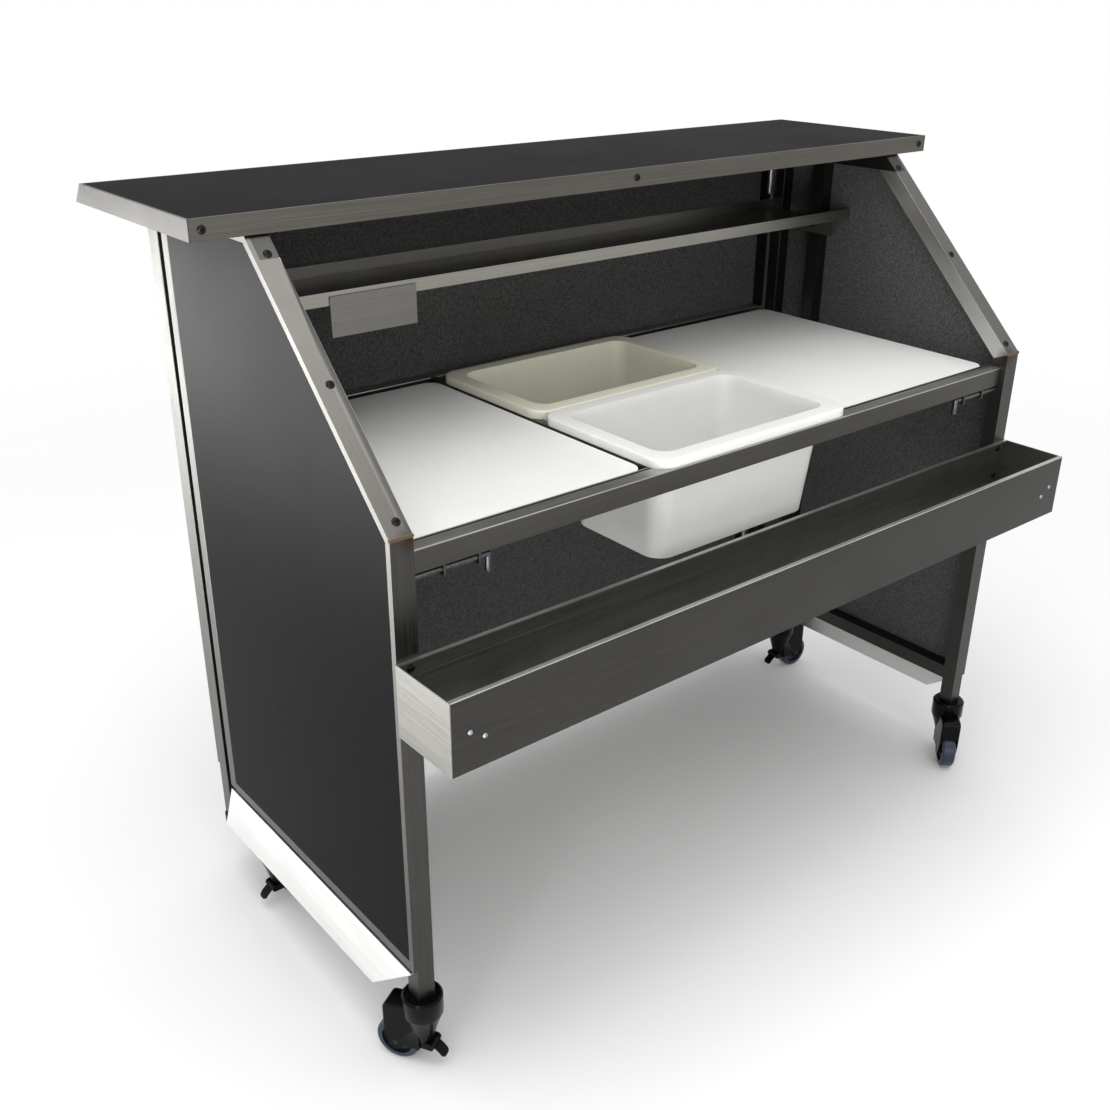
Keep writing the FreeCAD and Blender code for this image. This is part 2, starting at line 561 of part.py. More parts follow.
def build_upper_shelf():
    """A pan with a lip at each long edge, whose rear strip passes the uprights to the side panels."""
    front = SIDE_FRONT + SHELF_FRONT_GAP
    back = FRONT_FACE + SHELF_REACH
    top = SHELF_HEIGHT + SHEET
    lip_top = SHELF_HEIGHT + SHELF_LIP
    rear_lip = [(back, SHELF_HEIGHT), (back, lip_top), (back - SHELF_HEM, lip_top),
                (back - SHELF_HEM, lip_top - SHEET), (back - SHEET, lip_top - SHEET), (back - SHEET, top)]
    front_lip = [(front + SHEET, top), (front + SHEET, lip_top), (front, lip_top)]
    wing_front = UPRIGHT_MID + TUBE / 2 + SHELF_WING_GAP
    wing_end = SIDE_SKIN - LOOSE_GAP
    pan = prism([(front, SHELF_HEIGHT)] + rear_lip + front_lip, -SIDE_IN, SIDE_IN)
    wings = prism([(wing_front, SHELF_HEIGHT)] + rear_lip + [(wing_front, top)], -wing_end, wing_end)
    flange = box(SIDE_IN - SHEET, SIDE_IN, UPRIGHT_MID - SHELF_FLANGE_LENGTH / 2,
                 UPRIGHT_MID + SHELF_FLANGE_LENGTH / 2, SHELF_HEIGHT - SHELF_FLANGE, SHELF_HEIGHT)
    parts["upper_shelf"] = pan.fuse([wings, flange, mirrored(flange)]).removeSplitter()
    plate_x1 = SIDE_IN - PLATE_INSET
    parts["shelf_lip_plate"] = box(plate_x1 - PLATE_LENGTH, plate_x1, back, back + PLATE_THICK,
                                   SHELF_HEIGHT - PLATE_DROP, SHELF_HEIGHT + PLATE_LAP)


def build_bottle_rail():
    back = REAR_FACE
    front = REAR_FACE + BOTTLE_RAIL_DEPTH
    floor = BOTTLE_RAIL_HEIGHT
    top = floor + BOTTLE_RAIL_TALL
    hem = BOTTLE_RAIL_HEM
    outline = [(back, floor), (front, floor), (front, top), (front - hem, top), (front - hem, top - SHEET),
               (front - SHEET, top - SHEET), (front - SHEET, floor + SHEET), (back + SHEET, floor + SHEET),
               (back + SHEET, top - SHEET), (back + hem, top - SHEET), (back + hem, top), (back, top)]
    parts["bottle_rail_trough"] = prism(outline, -SIDE_OUT, SIDE_OUT)
    end = box(SIDE_OUT, SIDE_OUT + SHEET, back, front, floor, top)
    tab = box(SIDE_OUT - CAP_TAB, SIDE_OUT, front - 2 * SHEET, front - SHEET,
              floor + CAP_TAB_MARGIN, top - CAP_TAB_MARGIN)
    add_pair("bottle_rail_end", end.fuse(tab))

    fasteners = []
    for side, prefix in ((1, "right_"), (-1, "left_")):
        for inset, drop in zip(RIVET_INSETS, RIVET_DROPS):
            x = side * (SIDE_OUT - inset)
            face = Vector(x, front, top - drop)
            shank_end = Vector(x, front - 2 * SHEET, top - drop)
            head = Part.makeSphere(RIVET_RADIUS, face).common(
                cylinder(RIVET_RADIUS, face, face + Vector(0, RIVET_HEAD, 0)))
            fasteners.append(head.fuse(cylinder(RIVET_SHANK, shank_end, face)).removeSplitter())
            hole = cylinder(RIVET_SHANK, shank_end, face)
            for name in ("bottle_rail_trough", prefix + "bottle_rail_end"):
                parts[name] = parts[name].cut(hole)
        for drop in RAIL_SCREW_DROPS:
            add_screw(fasteners, Vector(side * SIDE_MID, back + SHEET, top - drop), (0, -1, 0), SCREW_LENGTH,
                      ("bottle_rail_trough", prefix + "rear_post"))
    parts["bottle_rail_fasteners"] = Part.makeCompound(fasteners)


def build_counter():
    half = SIDE_OUT + COUNTER_SIDE_OVERHANG
    low_front = FRONT_FACE - COUNTER_FRONT_OVERHANG
    high_front = low_front + COUNTER_FRONT_RAKE
    rear = low_front + COUNTER_DEPTH
    skew = SHEET / math.cos(math.atan2(COUNTER_FRONT_RAKE, COUNTER_THICK))
    envelope = prism([(low_front, COUNTER_UNDER), (rear, COUNTER_UNDER), (rear, COUNTER_TOP),
                      (high_front, COUNTER_TOP)], -half, half)
    core_top = COUNTER_TOP - SHEET
    core_front = high_front - COUNTER_FRONT_RAKE * SHEET / COUNTER_THICK + skew
    core = prism([(low_front + skew, COUNTER_UNDER), (rear - SHEET, COUNTER_UNDER), (rear - SHEET, core_top),
                  (core_front, core_top)], -half + SHEET, half - SHEET)
    face = box(-half + TRIM_RETURN, half - TRIM_RETURN, high_front + TRIM_RETURN, rear - TRIM_RETURN,
               core_top, COUNTER_TOP)
    board = core.fuse(face).removeSplitter()
    trim = envelope.cut(board)
    front_zone = box(-half + SHEET, half - SHEET, low_front, high_front + TRIM_RETURN,
                     COUNTER_UNDER, COUNTER_TOP)
    parts["counter_board"] = board
    parts["counter_front_trim"] = trim.common(front_zone).removeSplitter()
    parts["counter_edge_trim"] = trim.cut(front_zone).removeSplitter()

    screws = []
    for x in (-half + TRIM_SCREW_INSET, 0, half - TRIM_SCREW_INSET):
        add_screw(screws, Vector(x, rear, COUNTER_TOP - COUNTER_THICK / 2), (0, -1, 0), TRIM_SCREW_LENGTH,
                  ("counter_edge_trim", "counter_board"))
    parts["counter_trim_screws"] = Part.makeCompound(screws)

    pegs = []
    sockets = (("front_post", SIDE_OUT - TUBE / 2, FRONT_TUBE_FACE + TUBE / 2),
               ("side_top_rail", SIDE_MID, UPRIGHT_MID))
    for side, prefix in ((1, "right_"), (-1, "left_")):
        for name, x, y in sockets:
            top = Vector(side * x, y, COUNTER_UNDER)
            pegs.append(cylinder(PEG_RADIUS, top - Vector(0, 0, PEG_LENGTH), top))
            socket = cylinder(PEG_RADIUS + LOOSE_GAP, top - Vector(0, 0, PEG_LENGTH), top)
            parts[prefix + name] = parts[prefix + name].cut(socket)
    parts["counter_pegs"] = Part.makeCompound(pegs)


def build_panel_screws():
    screws = []
    plinth_z = FRONT_RAIL_HEIGHT + TUBE / 2
    for x in PLINTH_SCREW_PLACES:
        for side in (1, -1):
            add_screw(screws, Vector(side * x, FRONT_FACE, plinth_z), (0, 1, 0), SCREW_LENGTH,
                      ("plinth", "front_bottom_rail"))
    angle = math.radians(SLANT_ANGLE)
    for side, prefix in ((1, "right_"), (-1, "left_")):
        for inset in SLANT_SCREW_INSETS:
            seat = Vector(side * SIDE_MID, REAR_FACE - inset * math.cos(angle),
                          KNEE_HEIGHT + inset * math.sin(angle))
            add_screw(screws, seat, (0, -math.sin(angle), -math.cos(angle)), SCREW_LENGTH,
                      (prefix + "slant_tube", prefix + "side_top_rail"))
        kick_places = [SIDE_FRONT + inset for inset in KICK_SCREW_INSETS] + [REAR_FACE - KICK_SCREW_REAR_INSET]
        for y in kick_places:
            seat = Vector(side * SIDE_MID, y, SIDE_RAIL_HEIGHT - SHEET)
            add_screw(screws, seat, (0, 0, 1), SCREW_LENGTH,
                      (prefix + "kick_plate", prefix + "side_bottom_rail"))
        flange_seat = Vector(side * (SIDE_IN - SHEET), UPRIGHT_MID, SHELF_HEIGHT - SHELF_FLANGE / 2)
        add_screw(screws, flange_seat, (side, 0, 0), SCREW_LENGTH, ("upper_shelf", prefix + "upright"))
    parts["panel_screws"] = Part.makeCompound(screws)


def caster_wheel():
    """Wheel, tread and axle about the Y axis through the origin."""
    half = WHEEL_WIDTH / 2
    web = half - WEB_RECESS
    axle_end = half + HOOD_SIDE_GAP + HOOD_WALL
    outer = [(0, axle_end), (AXLE_RADIUS, axle_end), (AXLE_RADIUS, half), (HUB_RADIUS, half),
             (HUB_RADIUS, web), (RIM_RADIUS, web), (RIM_RADIUS, half), (WHEEL_RADIUS, half)]
    outline = outer + [(r, -y) for r, y in reversed(outer)]
    face = polygon_face([Vector(r, y, 0) for r, y in outline])
    wheel = face.revolve(Vector(0, 0, 0), Vector(0, 1, 0), 360)
    rings = [e for e in wheel.Edges if e.BoundBox.YLength < TINY]
    shoulders = [e for e in rings if e.BoundBox.XMax > WHEEL_RADIUS - TINY]
    return wheel.makeFillet(WHEEL_SHOULDER, shoulders)


def caster_hood():
    """Fork, swivel head and pedal lugs: the swivel axis at the origin, the wheel trailing towards -X."""
    center = Vector(-TRAIL, 0, WHEEL_RADIUS)
    half_in = WHEEL_WIDTH / 2 + HOOD_SIDE_GAP
    half_out = half_in + HOOD_WALL
    side = Vector(0, 1, 0)
    space = cylinder(WHEEL_RADIUS + HOOD_GAP, center - side * half_in, center + side * half_in)
    lugs = cylinder(LUG_RADIUS, center - side * half_out, center + side * half_out)
    foot = PEDAL_PIVOT_HEIGHT - PEDAL_LUG_RADIUS
    top = POST_BOTTOM - NECK_GAP
    skirt = WHEEL_RADIUS + HOOD_SKIRT
    outline = [(0, top - HOOD_TOP_DROP), (-HOOD_REACH, top - HOOD_SHOULDER_DROP), (-HOOD_REACH, skirt),
               (-TRAIL - LUG_RADIUS, WHEEL_RADIUS), (-TRAIL + LUG_RADIUS, WHEEL_RADIUS), (0, foot)]
    fork = polygon_face([Vector(x, -half_out, z) for x, z in outline]).extrude(side * (2 * half_out))
    across = [e for e in fork.Edges if e.BoundBox.YLength > half_out]
    shoulders = [e for e in across if e.BoundBox.XMax < -TINY and e.BoundBox.ZMin > skirt + TINY]
    fork = fork.makeFillet(HOOD_CORNER, shoulders)
    flanks = [e for e in fork.Edges if e.BoundBox.YLength < TINY and e.BoundBox.XMin < -TINY]
    fork = fork.makeFillet(HOOD_EDGE, [e for e in flanks if e.BoundBox.ZMin > skirt - TINY])
    rim = top - HEAD_RIM
    bulge = Vector(HEAD_BULGE_RADIUS, 0, (foot + rim) / 2)
    corners = [Vector(HEAD_RADIUS, 0, rim), Vector(HEAD_RADIUS, 0, top - HEAD_EDGE),
               Vector(HEAD_RADIUS - HEAD_EDGE, 0, top), Vector(0, 0, top), Vector(0, 0, foot),
               Vector(HEAD_FOOT_RADIUS, 0, foot)]
    edges = [Part.LineSegment(a, b).toShape() for a, b in zip(corners, corners[1:])]
    edges.append(Part.Arc(corners[-1], bulge, corners[0]).toShape())
    head = Part.Face(Part.Wire(edges)).revolve(Vector(0, 0, 0), Vector(0, 0, 1), 360)
    pedal_half = PEDAL_WIDTH / 2 + PEDAL_SIDE_GAP
    pivot = Vector(PEDAL_PIVOT_REACH, 0, PEDAL_PIVOT_HEIGHT)
    arms = []
    for turn in (1, -1):
        inner = side * (turn * pedal_half)
        outer = side * (turn * (pedal_half + PEDAL_LUG))
        eye = cylinder(PEDAL_LUG_RADIUS, pivot + inner, pivot + outer)
        arm = box(0, PEDAL_PIVOT_REACH, min(inner.y, outer.y), max(inner.y, outer.y),
                  PEDAL_PIVOT_HEIGHT - PEDAL_LUG_RADIUS, PEDAL_PIVOT_HEIGHT + PEDAL_LUG_RADIUS)
        arms += [eye, arm]
    seat = POST_BOTTOM - STEM_SEAT_DROP
    seat_mid = Vector(0, 0, seat)
    stem_bore = cylinder(STEM_RADIUS + STEM_FIT, seat_mid, Vector(0, 0, POST_BOTTOM))
    head_room = cylinder(STEM_HEAD_RADIUS + LOOSE_GAP, Vector(0, 0, WHEEL_RADIUS), seat_mid)
    axle_bore = cylinder(AXLE_RADIUS + LOOSE_GAP, center - side * half_out, center + side * half_out)
    pin_bore = cylinder(PEDAL_PIN + LOOSE_GAP, pivot - side * (pedal_half + PEDAL_LUG),
                        pivot + side * (pedal_half + PEDAL_LUG))
    pedal_room = cylinder(PEDAL_LUG_RADIUS + PEDAL_SIDE_GAP, pivot - side * pedal_half,
                          pivot + side * pedal_half)
    hood = fork.fuse([lugs, head] + arms)
    hood = hood.cut([space, stem_bore, head_room, axle_bore, pin_bore, pedal_room])
    return hood.removeSplitter()


def caster_pedal():
    """Brake pedal with its cross pin, curving down and away from the swivel axis."""
    pivot = Vector(PEDAL_PIVOT_REACH, 0, PEDAL_PIVOT_HEIGHT)
    half = PEDAL_WIDTH / 2
    pin_half = half + PEDAL_SIDE_GAP + PEDAL_LUG
    bend = math.radians(PEDAL_BEND)
    middle = PEDAL_LENGTH / bend
    curves = []
    for radius in (middle + PEDAL_THICK / 2, middle - PEDAL_THICK / 2):
        points = [Vector(radius * math.sin(a), -half, radius * math.cos(a) - middle) for a in (0, bend / 2, bend)]
        curves.append(points)
    upper, lower = curves
    edges = [Part.Arc(*upper).toShape(), Part.LineSegment(upper[2], lower[2]).toShape(),
             Part.Arc(*reversed(lower)).toShape(), Part.LineSegment(lower[0], upper[0]).toShape()]
    plate = Part.Face(Part.Wire(edges)).extrude(Vector(0, PEDAL_WIDTH, 0))
    ends = [e for e in plate.Edges if e.BoundBox.XMin > PEDAL_THICK]
    tip_edges = [e for e in ends if e.BoundBox.YLength < TINY]
    plate = plate.makeFillet(PEDAL_CORNER, tip_edges)
    barrel = cylinder(PEDAL_LUG_RADIUS - PEDAL_SIDE_GAP, Vector(0, -half, 0), Vector(0, half, 0))
    pin = cylinder(PEDAL_PIN, Vector(0, -pin_half, 0), Vector(0, pin_half, 0))
    pedal = plate.fuse([barrel, pin]).removeSplitter()
    pedal.rotate(Vector(0, 0, 0), Vector(0, 1, 0), PEDAL_SLOPE)
    pedal.translate(pivot)
    return pedal


def caster_stem():
    seat = POST_BOTTOM - STEM_SEAT_DROP
    head_top = Vector(0, 0, seat - NECK_GAP)
    shank = cylinder(STEM_RADIUS, head_top, Vector(0, 0, POST_BOTTOM + STEM_LENGTH))
    head = cylinder(STEM_HEAD_RADIUS, head_top - Vector(0, 0, STEM_HEAD_HEIGHT), head_top)
    return shank.fuse(head).removeSplitter()


def build_casters():
    wheel = caster_wheel()
    wheel.translate(Vector(-TRAIL, 0, WHEEL_RADIUS))
    hood = caster_hood()
    pedal = caster_pedal()
    stems = []
    places = (("rear_right", SIDE_MID, REAR_POST_MID, REAR_RIGHT_TURN),
              ("rear_left", -SIDE_MID, REAR_POST_MID, REAR_LEFT_TURN),
              ("front_right", SIDE_MID, UPRIGHT_MID, FRONT_RIGHT_TURN),
              ("front_left", -SIDE_MID, UPRIGHT_MID, FRONT_LEFT_TURN))
    for name, x, y, turn in places:
        for piece, shape in (("wheel", wheel), ("hood", hood), ("pedal", pedal)):
            placed = shape.copy()
            placed.rotate(Vector(0, 0, 0), Vector(0, 0, 1), turn + 180)
            placed.translate(Vector(x, y, 0))
            parts["caster_" + name + "_" + piece] = placed
        stem = caster_stem()
        stem.translate(Vector(x, y, 0))
        stems.append(stem)
    parts["caster_stems"] = Part.makeCompound(stems)


build_front_wall()
build_side_walls()
build_kick_plates()
build_hinges()
build_deck()
build_tubs()
build_upper_shelf()
build_bottle_rail()
build_counter()
build_panel_screws()
build_casters()

os.makedirs("parts", exist_ok=True)
for part_name, shape in parts.items():
    shape.exportStep("parts/" + part_name + ".step")
    print(part_name, len(shape.Solids), "solids", "valid" if shape.isValid() else "not valid")
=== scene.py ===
import bpy
import math
from mathutils import Matrix, Vector


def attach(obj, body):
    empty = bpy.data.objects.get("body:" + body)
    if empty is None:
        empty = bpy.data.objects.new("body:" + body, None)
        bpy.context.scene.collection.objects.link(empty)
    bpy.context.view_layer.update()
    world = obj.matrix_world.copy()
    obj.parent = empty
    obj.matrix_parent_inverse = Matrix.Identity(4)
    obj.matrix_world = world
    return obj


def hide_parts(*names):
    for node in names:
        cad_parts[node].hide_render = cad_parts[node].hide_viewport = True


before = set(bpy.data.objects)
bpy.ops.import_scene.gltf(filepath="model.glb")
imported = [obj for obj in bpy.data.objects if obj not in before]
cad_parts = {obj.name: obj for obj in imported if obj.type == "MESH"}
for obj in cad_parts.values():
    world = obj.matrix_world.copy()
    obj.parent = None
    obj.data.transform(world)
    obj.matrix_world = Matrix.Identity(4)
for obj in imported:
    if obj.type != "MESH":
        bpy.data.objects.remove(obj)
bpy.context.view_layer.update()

# Front wall frame: two square posts and two rails of stainless tube, welded into one flat frame that
# carries the customer's panel. The posts have a narrow strip beside the panel, folded from the same tube.


def linear(code):
    """An sRGB hex colour as linear RGBA."""
    shares = [int(code[i:i + 2], 16) / 255 for i in (1, 3, 5)]
    return [c / 12.92 if c <= 0.04045 else ((c + 0.055) / 1.055) ** 2.4 for c in shares] + [1.0]


def put(tree, kind, inputs=None, **settings):
    """Adds a node. Settings are its properties, inputs are socket values or the sockets that feed them."""
    made = tree.nodes.new(kind)
    for name, value in settings.items():
        setattr(made, name, value)
    for name, value in (inputs or {}).items():
        sources = value if isinstance(value, list) and isinstance(value[0], bpy.types.NodeSocket) else [value]
        for source in sources:
            if isinstance(source, bpy.types.NodeSocket):
                tree.links.new(source, made.inputs[name])
            else:
                made.inputs[name].default_value = source
    return made


def new_material(name):
    """A material without nodes, its tree, and the coordinates of the piece that wears it."""
    material = bpy.data.materials.new(name)
    material.use_nodes = True
    tree = material.node_tree
    tree.nodes.clear()
    return material, tree, put(tree, "ShaderNodeTexCoord").outputs["Object"]


def stretch(tree, vector, scale):
    return put(tree, "ShaderNodeMapping", {"Vector": vector, "Scale": scale}).outputs["Vector"]


def noise(tree, vector, size, detail, roughness=0.5):
    """Soft noise with blotches of about that size."""
    inputs = {"Vector": vector, "Scale": 1 / size, "Detail": detail, "Roughness": roughness}
    return put(tree, "ShaderNodeTexNoise", inputs).outputs["Fac"]


def ramp(tree, value, span, reach=(0.0, 1.0)):
    """The value's way through the span, spread over the reach and held at its ends."""
    inputs = {"Value": value, "From Min": span[0], "From Max": span[1],
              "To Min": reach[0], "To Max": reach[1]}
    return put(tree, "ShaderNodeMapRange", inputs).outputs["Result"]


def maths(tree, operation, *values):
    return put(tree, "ShaderNodeMath", dict(enumerate(values)), operation=operation).outputs[0]


def blend(tree, share, first, second):
    """The first colour, which turns into the second as the share grows. Each is a hex code or a socket."""
    first, second = [linear(end) if isinstance(end, str) else end for end in (first, second)]
    inputs = {"Factor": share, 6: first, 7: second}
    return put(tree, "ShaderNodeMix", inputs, data_type="RGBA").outputs[2]


def relief(tree, height, strength, depth, sunk=False):
    inputs = {"Height": height, "Strength": strength, "Distance": depth}
    return put(tree, "ShaderNodeBump", inputs, invert=sunk).outputs["Normal"]


def cover(tree, inputs):
    """Ends a material with the shader that has these inputs."""
    skin = put(tree, "ShaderNodeBsdfPrincipled", inputs)
    put(tree, "ShaderNodeOutputMaterial", {"Surface": skin.outputs["BSDF"]})


NOISE_SPAN = (0.3, 0.7)


def brushed_stainless(name, light, dark, grain_turn=(0, 0, 0), weld_heat=(), painted_face_light=()):
    """Stainless sheet with a belt-brushed grain, which gives long streaks and a soft stretched gloss.

    The grain runs along X and is turned by grain_turn. Real brush lines lie about 0.3 mm apart, so they
    are drawn 1.5 mm apart to show. Near each weld_heat point the metal is tinted straw brown. Each entry
    of the last argument (axis, near, far, light, dark) gives its own tones to what lies outside near to
    far: painted highlight where they are lighter than the metal, painted shade where they are darker.
    """
    material, tree, coords = new_material(name)
    turned = put(tree, "ShaderNodeVectorRotate", {"Vector": coords, "Rotation": grain_turn},
                 rotation_type="EULER_XYZ").outputs["Vector"]
    line_gap, line_length = 0.0015, 0.22
    band_gap, band_length, band_share = 0.014, 0.55, 0.15
    smudge_size, smudge_span, smudge_share, smudge_rough = 0.11, (0.48, 0.72), 0.3, 0.18
    fine = stretch(tree, turned, (1 / line_length, 1 / line_gap, 1 / line_gap))
    lines = noise(tree, fine, 1.0, 5.0, 0.62)
    wide = stretch(tree, turned, (1 / band_length, 1 / band_gap, 1 / band_gap))
    bands = noise(tree, wide, 1.0, 2.0)
    smudge = noise(tree, coords, smudge_size, 5.0, 0.6)
    grain = put(tree, "ShaderNodeMix", {"Factor": band_share, 2: lines, 3: bands},
                data_type="FLOAT").outputs[0]
    share = ramp(tree, grain, NOISE_SPAN)
    colour = blend(tree, share, dark, light)
    # Painted highlight and painted shade: the faces outside each zone's span get their own lighter or darker
    # tones.
    for axis, near, far, bright, zone_dark in painted_face_light:
        place = put(tree, "ShaderNodeSeparateXYZ", {"Vector": coords}).outputs[axis]
        out = maths(tree, "ABSOLUTE", place)
        below = maths(tree, "LESS_THAN", out, near)
        beyond = maths(tree, "GREATER_THAN", out, far)
        either = maths(tree, "MAXIMUM", below, beyond)
        colour = blend(tree, either, colour, blend(tree, share, zone_dark, bright))
    film = ramp(tree, smudge, smudge_span, (0.0, smudge_share))
    colour = blend(tree, film, colour, dark)
    heat_colour, heat_share = "#3b2a1d", 0.8
    for place, reach in weld_heat:
        gap = put(tree, "ShaderNodeVectorMath", {0: coords, 1: place}, operation="DISTANCE").outputs["Value"]
        wobble = maths(tree, "MULTIPLY_ADD", smudge, reach * 1.6, -reach * 0.8)
        edge = maths(tree, "ADD", gap, wobble)
        heat = ramp(tree, edge, (reach * 0.15, reach), (heat_share, 0.0))
        colour = blend(tree, heat, colour, heat_colour)
    polish = ramp(tree, lines, NOISE_SPAN, (0.22, 0.38))
    worn = maths(tree, "MULTIPLY_ADD", smudge, smudge_rough, polish)
    cover(tree, {"Base Color": colour, "Metallic": 1.0, "Roughness": worn,
                 "Normal": relief(tree, lines, 0.14, 0.0004)})
    return material


MERGE_GAP = 0.00001


def soften(node, width):
    """Rounds a CAD node's sharp edges a little, as folded and deburred sheet is, on the evaluated mesh."""
    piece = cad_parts[node]
    weld = piece.modifiers.new("weld", "WELD")
    weld.merge_threshold = MERGE_GAP
    flat = piece.modifiers.new("flat", "DECIMATE")
    flat.decimate_type = "DISSOLVE"
    flat.angle_limit = math.radians(1)
    edges = piece.modifiers.new("edges", "BEVEL")
    edges.width = width
    edges.segments = 2
    edges.limit_method = "ANGLE"
    edges.angle_limit = math.radians(40)
    edges.use_clamp_overlap = True


def dress(node, material, edge=0.0):
    """Gives a CAD node its material, and its softened edges where edge is set."""
    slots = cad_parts[node].data.materials
    slots.clear()
    slots.append(material)
    if edge:
        soften(node, edge)


GRAIN_Y = (0, 0, math.radians(90))
GRAIN_Z = (0, math.radians(90), 0)
TUBE_EDGE = 0.0012
FRONT_FACE = -0.312
WALL_FACE = 0.610
SKIN = 0.0005
steel_light, steel_dark = "#51504e", "#41403e"
# Painted highlight: the walls' outer faces and the front frame's customer face get lighter tones than the
# rest of the tube.
lit_face_light, lit_face_dark = "#666562", "#5a5956"
outer_face_highlight = ("X", 0.0, WALL_FACE - SKIN, lit_face_light, lit_face_dark)
customer_face_highlight = ("Y", 0.0, -FRONT_FACE - SKIN, lit_face_light, lit_face_dark)
tube_front = brushed_stainless("brushed_stainless_front", steel_light, steel_dark, GRAIN_Z,
                               painted_face_light=(outer_face_highlight, customer_face_highlight))
tube_across = brushed_stainless("brushed_stainless_across", steel_light, steel_dark)
for node in ("right_front_post", "left_front_post"):
    dress(node, tube_front, TUBE_EDGE)
for node in ("front_top_rail", "front_bottom_rail"):
    dress(node, tube_across, TUBE_EDGE)

# Side wall frames: the same square tube, with a 45 degree slanted tube from the knee up to the counter.
# The outer strip beside each panel is part of the tube, and the knee is mitred and welded.
TUBE = 0.025
WALL_MIDDLE = 0.5915
REAR_FACE = 0.262
KNEE_HEIGHT = 0.788
# The uprights, side rails and rear posts carry the same painted highlight on their outer faces.
tube_upright = brushed_stainless("brushed_stainless_upright", steel_light, steel_dark, GRAIN_Z,
                                 painted_face_light=(outer_face_highlight,))
tube_deep = brushed_stainless("brushed_stainless_deep", steel_light, steel_dark, GRAIN_Y,
                              painted_face_light=(outer_face_highlight,))
heat_inset, heat_drop, heat_reach = 0.025, 0.005, 0.022
knees = [((side * (WALL_FACE - heat_inset), REAR_FACE, KNEE_HEIGHT - heat_drop), heat_reach)
         for side in (1, -1)]
post_rear = brushed_stainless("brushed_stainless_rear_post", steel_light, steel_dark, GRAIN_Z, knees,
                              (outer_face_highlight,))
# Painted highlight: the slanted tube is the same steel but gets lighter tones where light falls on its upper
# face, a little less on its outer face, and near white on its inner face.
slant_turn = (math.radians(45), 0, math.radians(90))
outer_flank_highlight = ("X", 0.0, WALL_FACE - SKIN, "#6b6a66", "#5e5d5a")
inner_flank_highlight = ("X", WALL_MIDDLE - TUBE / 2 + SKIN, 1.0, "#cfcecb", "#bdbcb9")
tube_slant = brushed_stainless("brushed_stainless_slant", "#72706c", "#63615d", slant_turn, knees,
                               (outer_flank_highlight, inner_flank_highlight))
for side in ("right_", "left_"):
    dress(side + "side_front_post", tube_upright, TUBE_EDGE)
    dress(side + "upright", tube_upright, TUBE_EDGE)
    dress(side + "rear_post", post_rear, TUBE_EDGE)
    dress(side + "slant_tube", tube_slant, TUBE_EDGE)
    dress(side + "side_top_rail", tube_deep, TUBE_EDGE)
    dress(side + "side_bottom_rail", tube_deep, TUBE_EDGE)

# Wall panels: black high pressure laminate on a thin board, pressed against a finely pebbled plate.
# They are slid into the frames and lie flush with the steel strips.


def black_laminate(name, tone, bright, rough, shine, backing=None):
    """Melamine laminate: a fine pebble of about 1.5 mm breaks the gloss, and wiping leaves faint clouds.

    Backing is (axis, place): past that plane, away from the outside, the board shows its grey speckled
    backing sheet.
    """
    material, tree, coords = new_material(name)
    pebble_size, cloud_size, speck_size, fleck_size = 0.0016, 0.22, 0.004, 0.0028
    speck_span, fleck_span = (0.52, 0.78), (0.38, 0.68)
    pebble = noise(tree, coords, pebble_size, 3.0)
    cloud = noise(tree, coords, cloud_size, 4.0)
    speck = noise(tree, coords, speck_size, 2.0)
    colour = blend(tree, ramp(tree, speck, speck_span), tone, bright)
    gloss = ramp(tree, cloud, NOISE_SPAN, (rough - 0.02, rough + 0.03))
    if backing:
        axis, place = backing
        split = put(tree, "ShaderNodeSeparateXYZ", {"Vector": coords}).outputs[axis]
        depth = maths(tree, "ABSOLUTE", split)
        inside = maths(tree, "LESS_THAN", depth, place)
        fleck = noise(tree, coords, fleck_size, 4.0, 0.7)
        grey = blend(tree, ramp(tree, fleck, fleck_span), "#383838", "#5b5b5a")
        colour = blend(tree, inside, colour, grey)
    cover(tree, {"Base Color": colour, "Roughness": gloss, "IOR": 1.5, "Specular IOR Level": shine,
                 "Normal": relief(tree, pebble, 0.10, 0.0003)})
    return material


PANEL_THICK = 0.006
BACKING_SHARE = 0.3
PANEL_EDGE = 0.0004
for node, axis, outer, tone, bright in (("front_panel", "Y", -FRONT_FACE, "#171718", "#212122"),
                                        ("right_side_panel", "X", WALL_FACE, "#0b0b0c", "#131314"),
                                        ("left_side_panel", "X", WALL_FACE, "#0b0b0c", "#131314")):
    backing = (axis, outer - (1 - BACKING_SHARE) * PANEL_THICK)
    dress(node, black_laminate("black_laminate_" + node, tone, bright, 0.30, 0.02, backing), PANEL_EDGE)

# Plinth and kick plates: folded stainless sheet, screwed under the front panel and under the side rails.
# The kick plates lean out so that a mop or a foot slides off them.
SHEET_EDGE = 0.0005
sheet_across = brushed_stainless("brushed_sheet_across", "#6e6b66", "#5d5a55")
# Painted highlight: the kick plates get near white tones for the light on their outer faces, though they are
# the same sheet as the plinth.
highlit_sheet_deep = brushed_stainless("brushed_sheet_deep", "#e6e6e4", "#d9d9d7", GRAIN_Y)
dress("plinth", sheet_across, SHEET_EDGE)
for node in ("right_kick_plate", "left_kick_plate"):
    dress(node, highlit_sheet_deep, SHEET_EDGE)

# Round plugs under the front posts: moulded black polyethylene, pressed into the tube ends.
# The moulding leaves a soft gloss and a very fine orange peel.


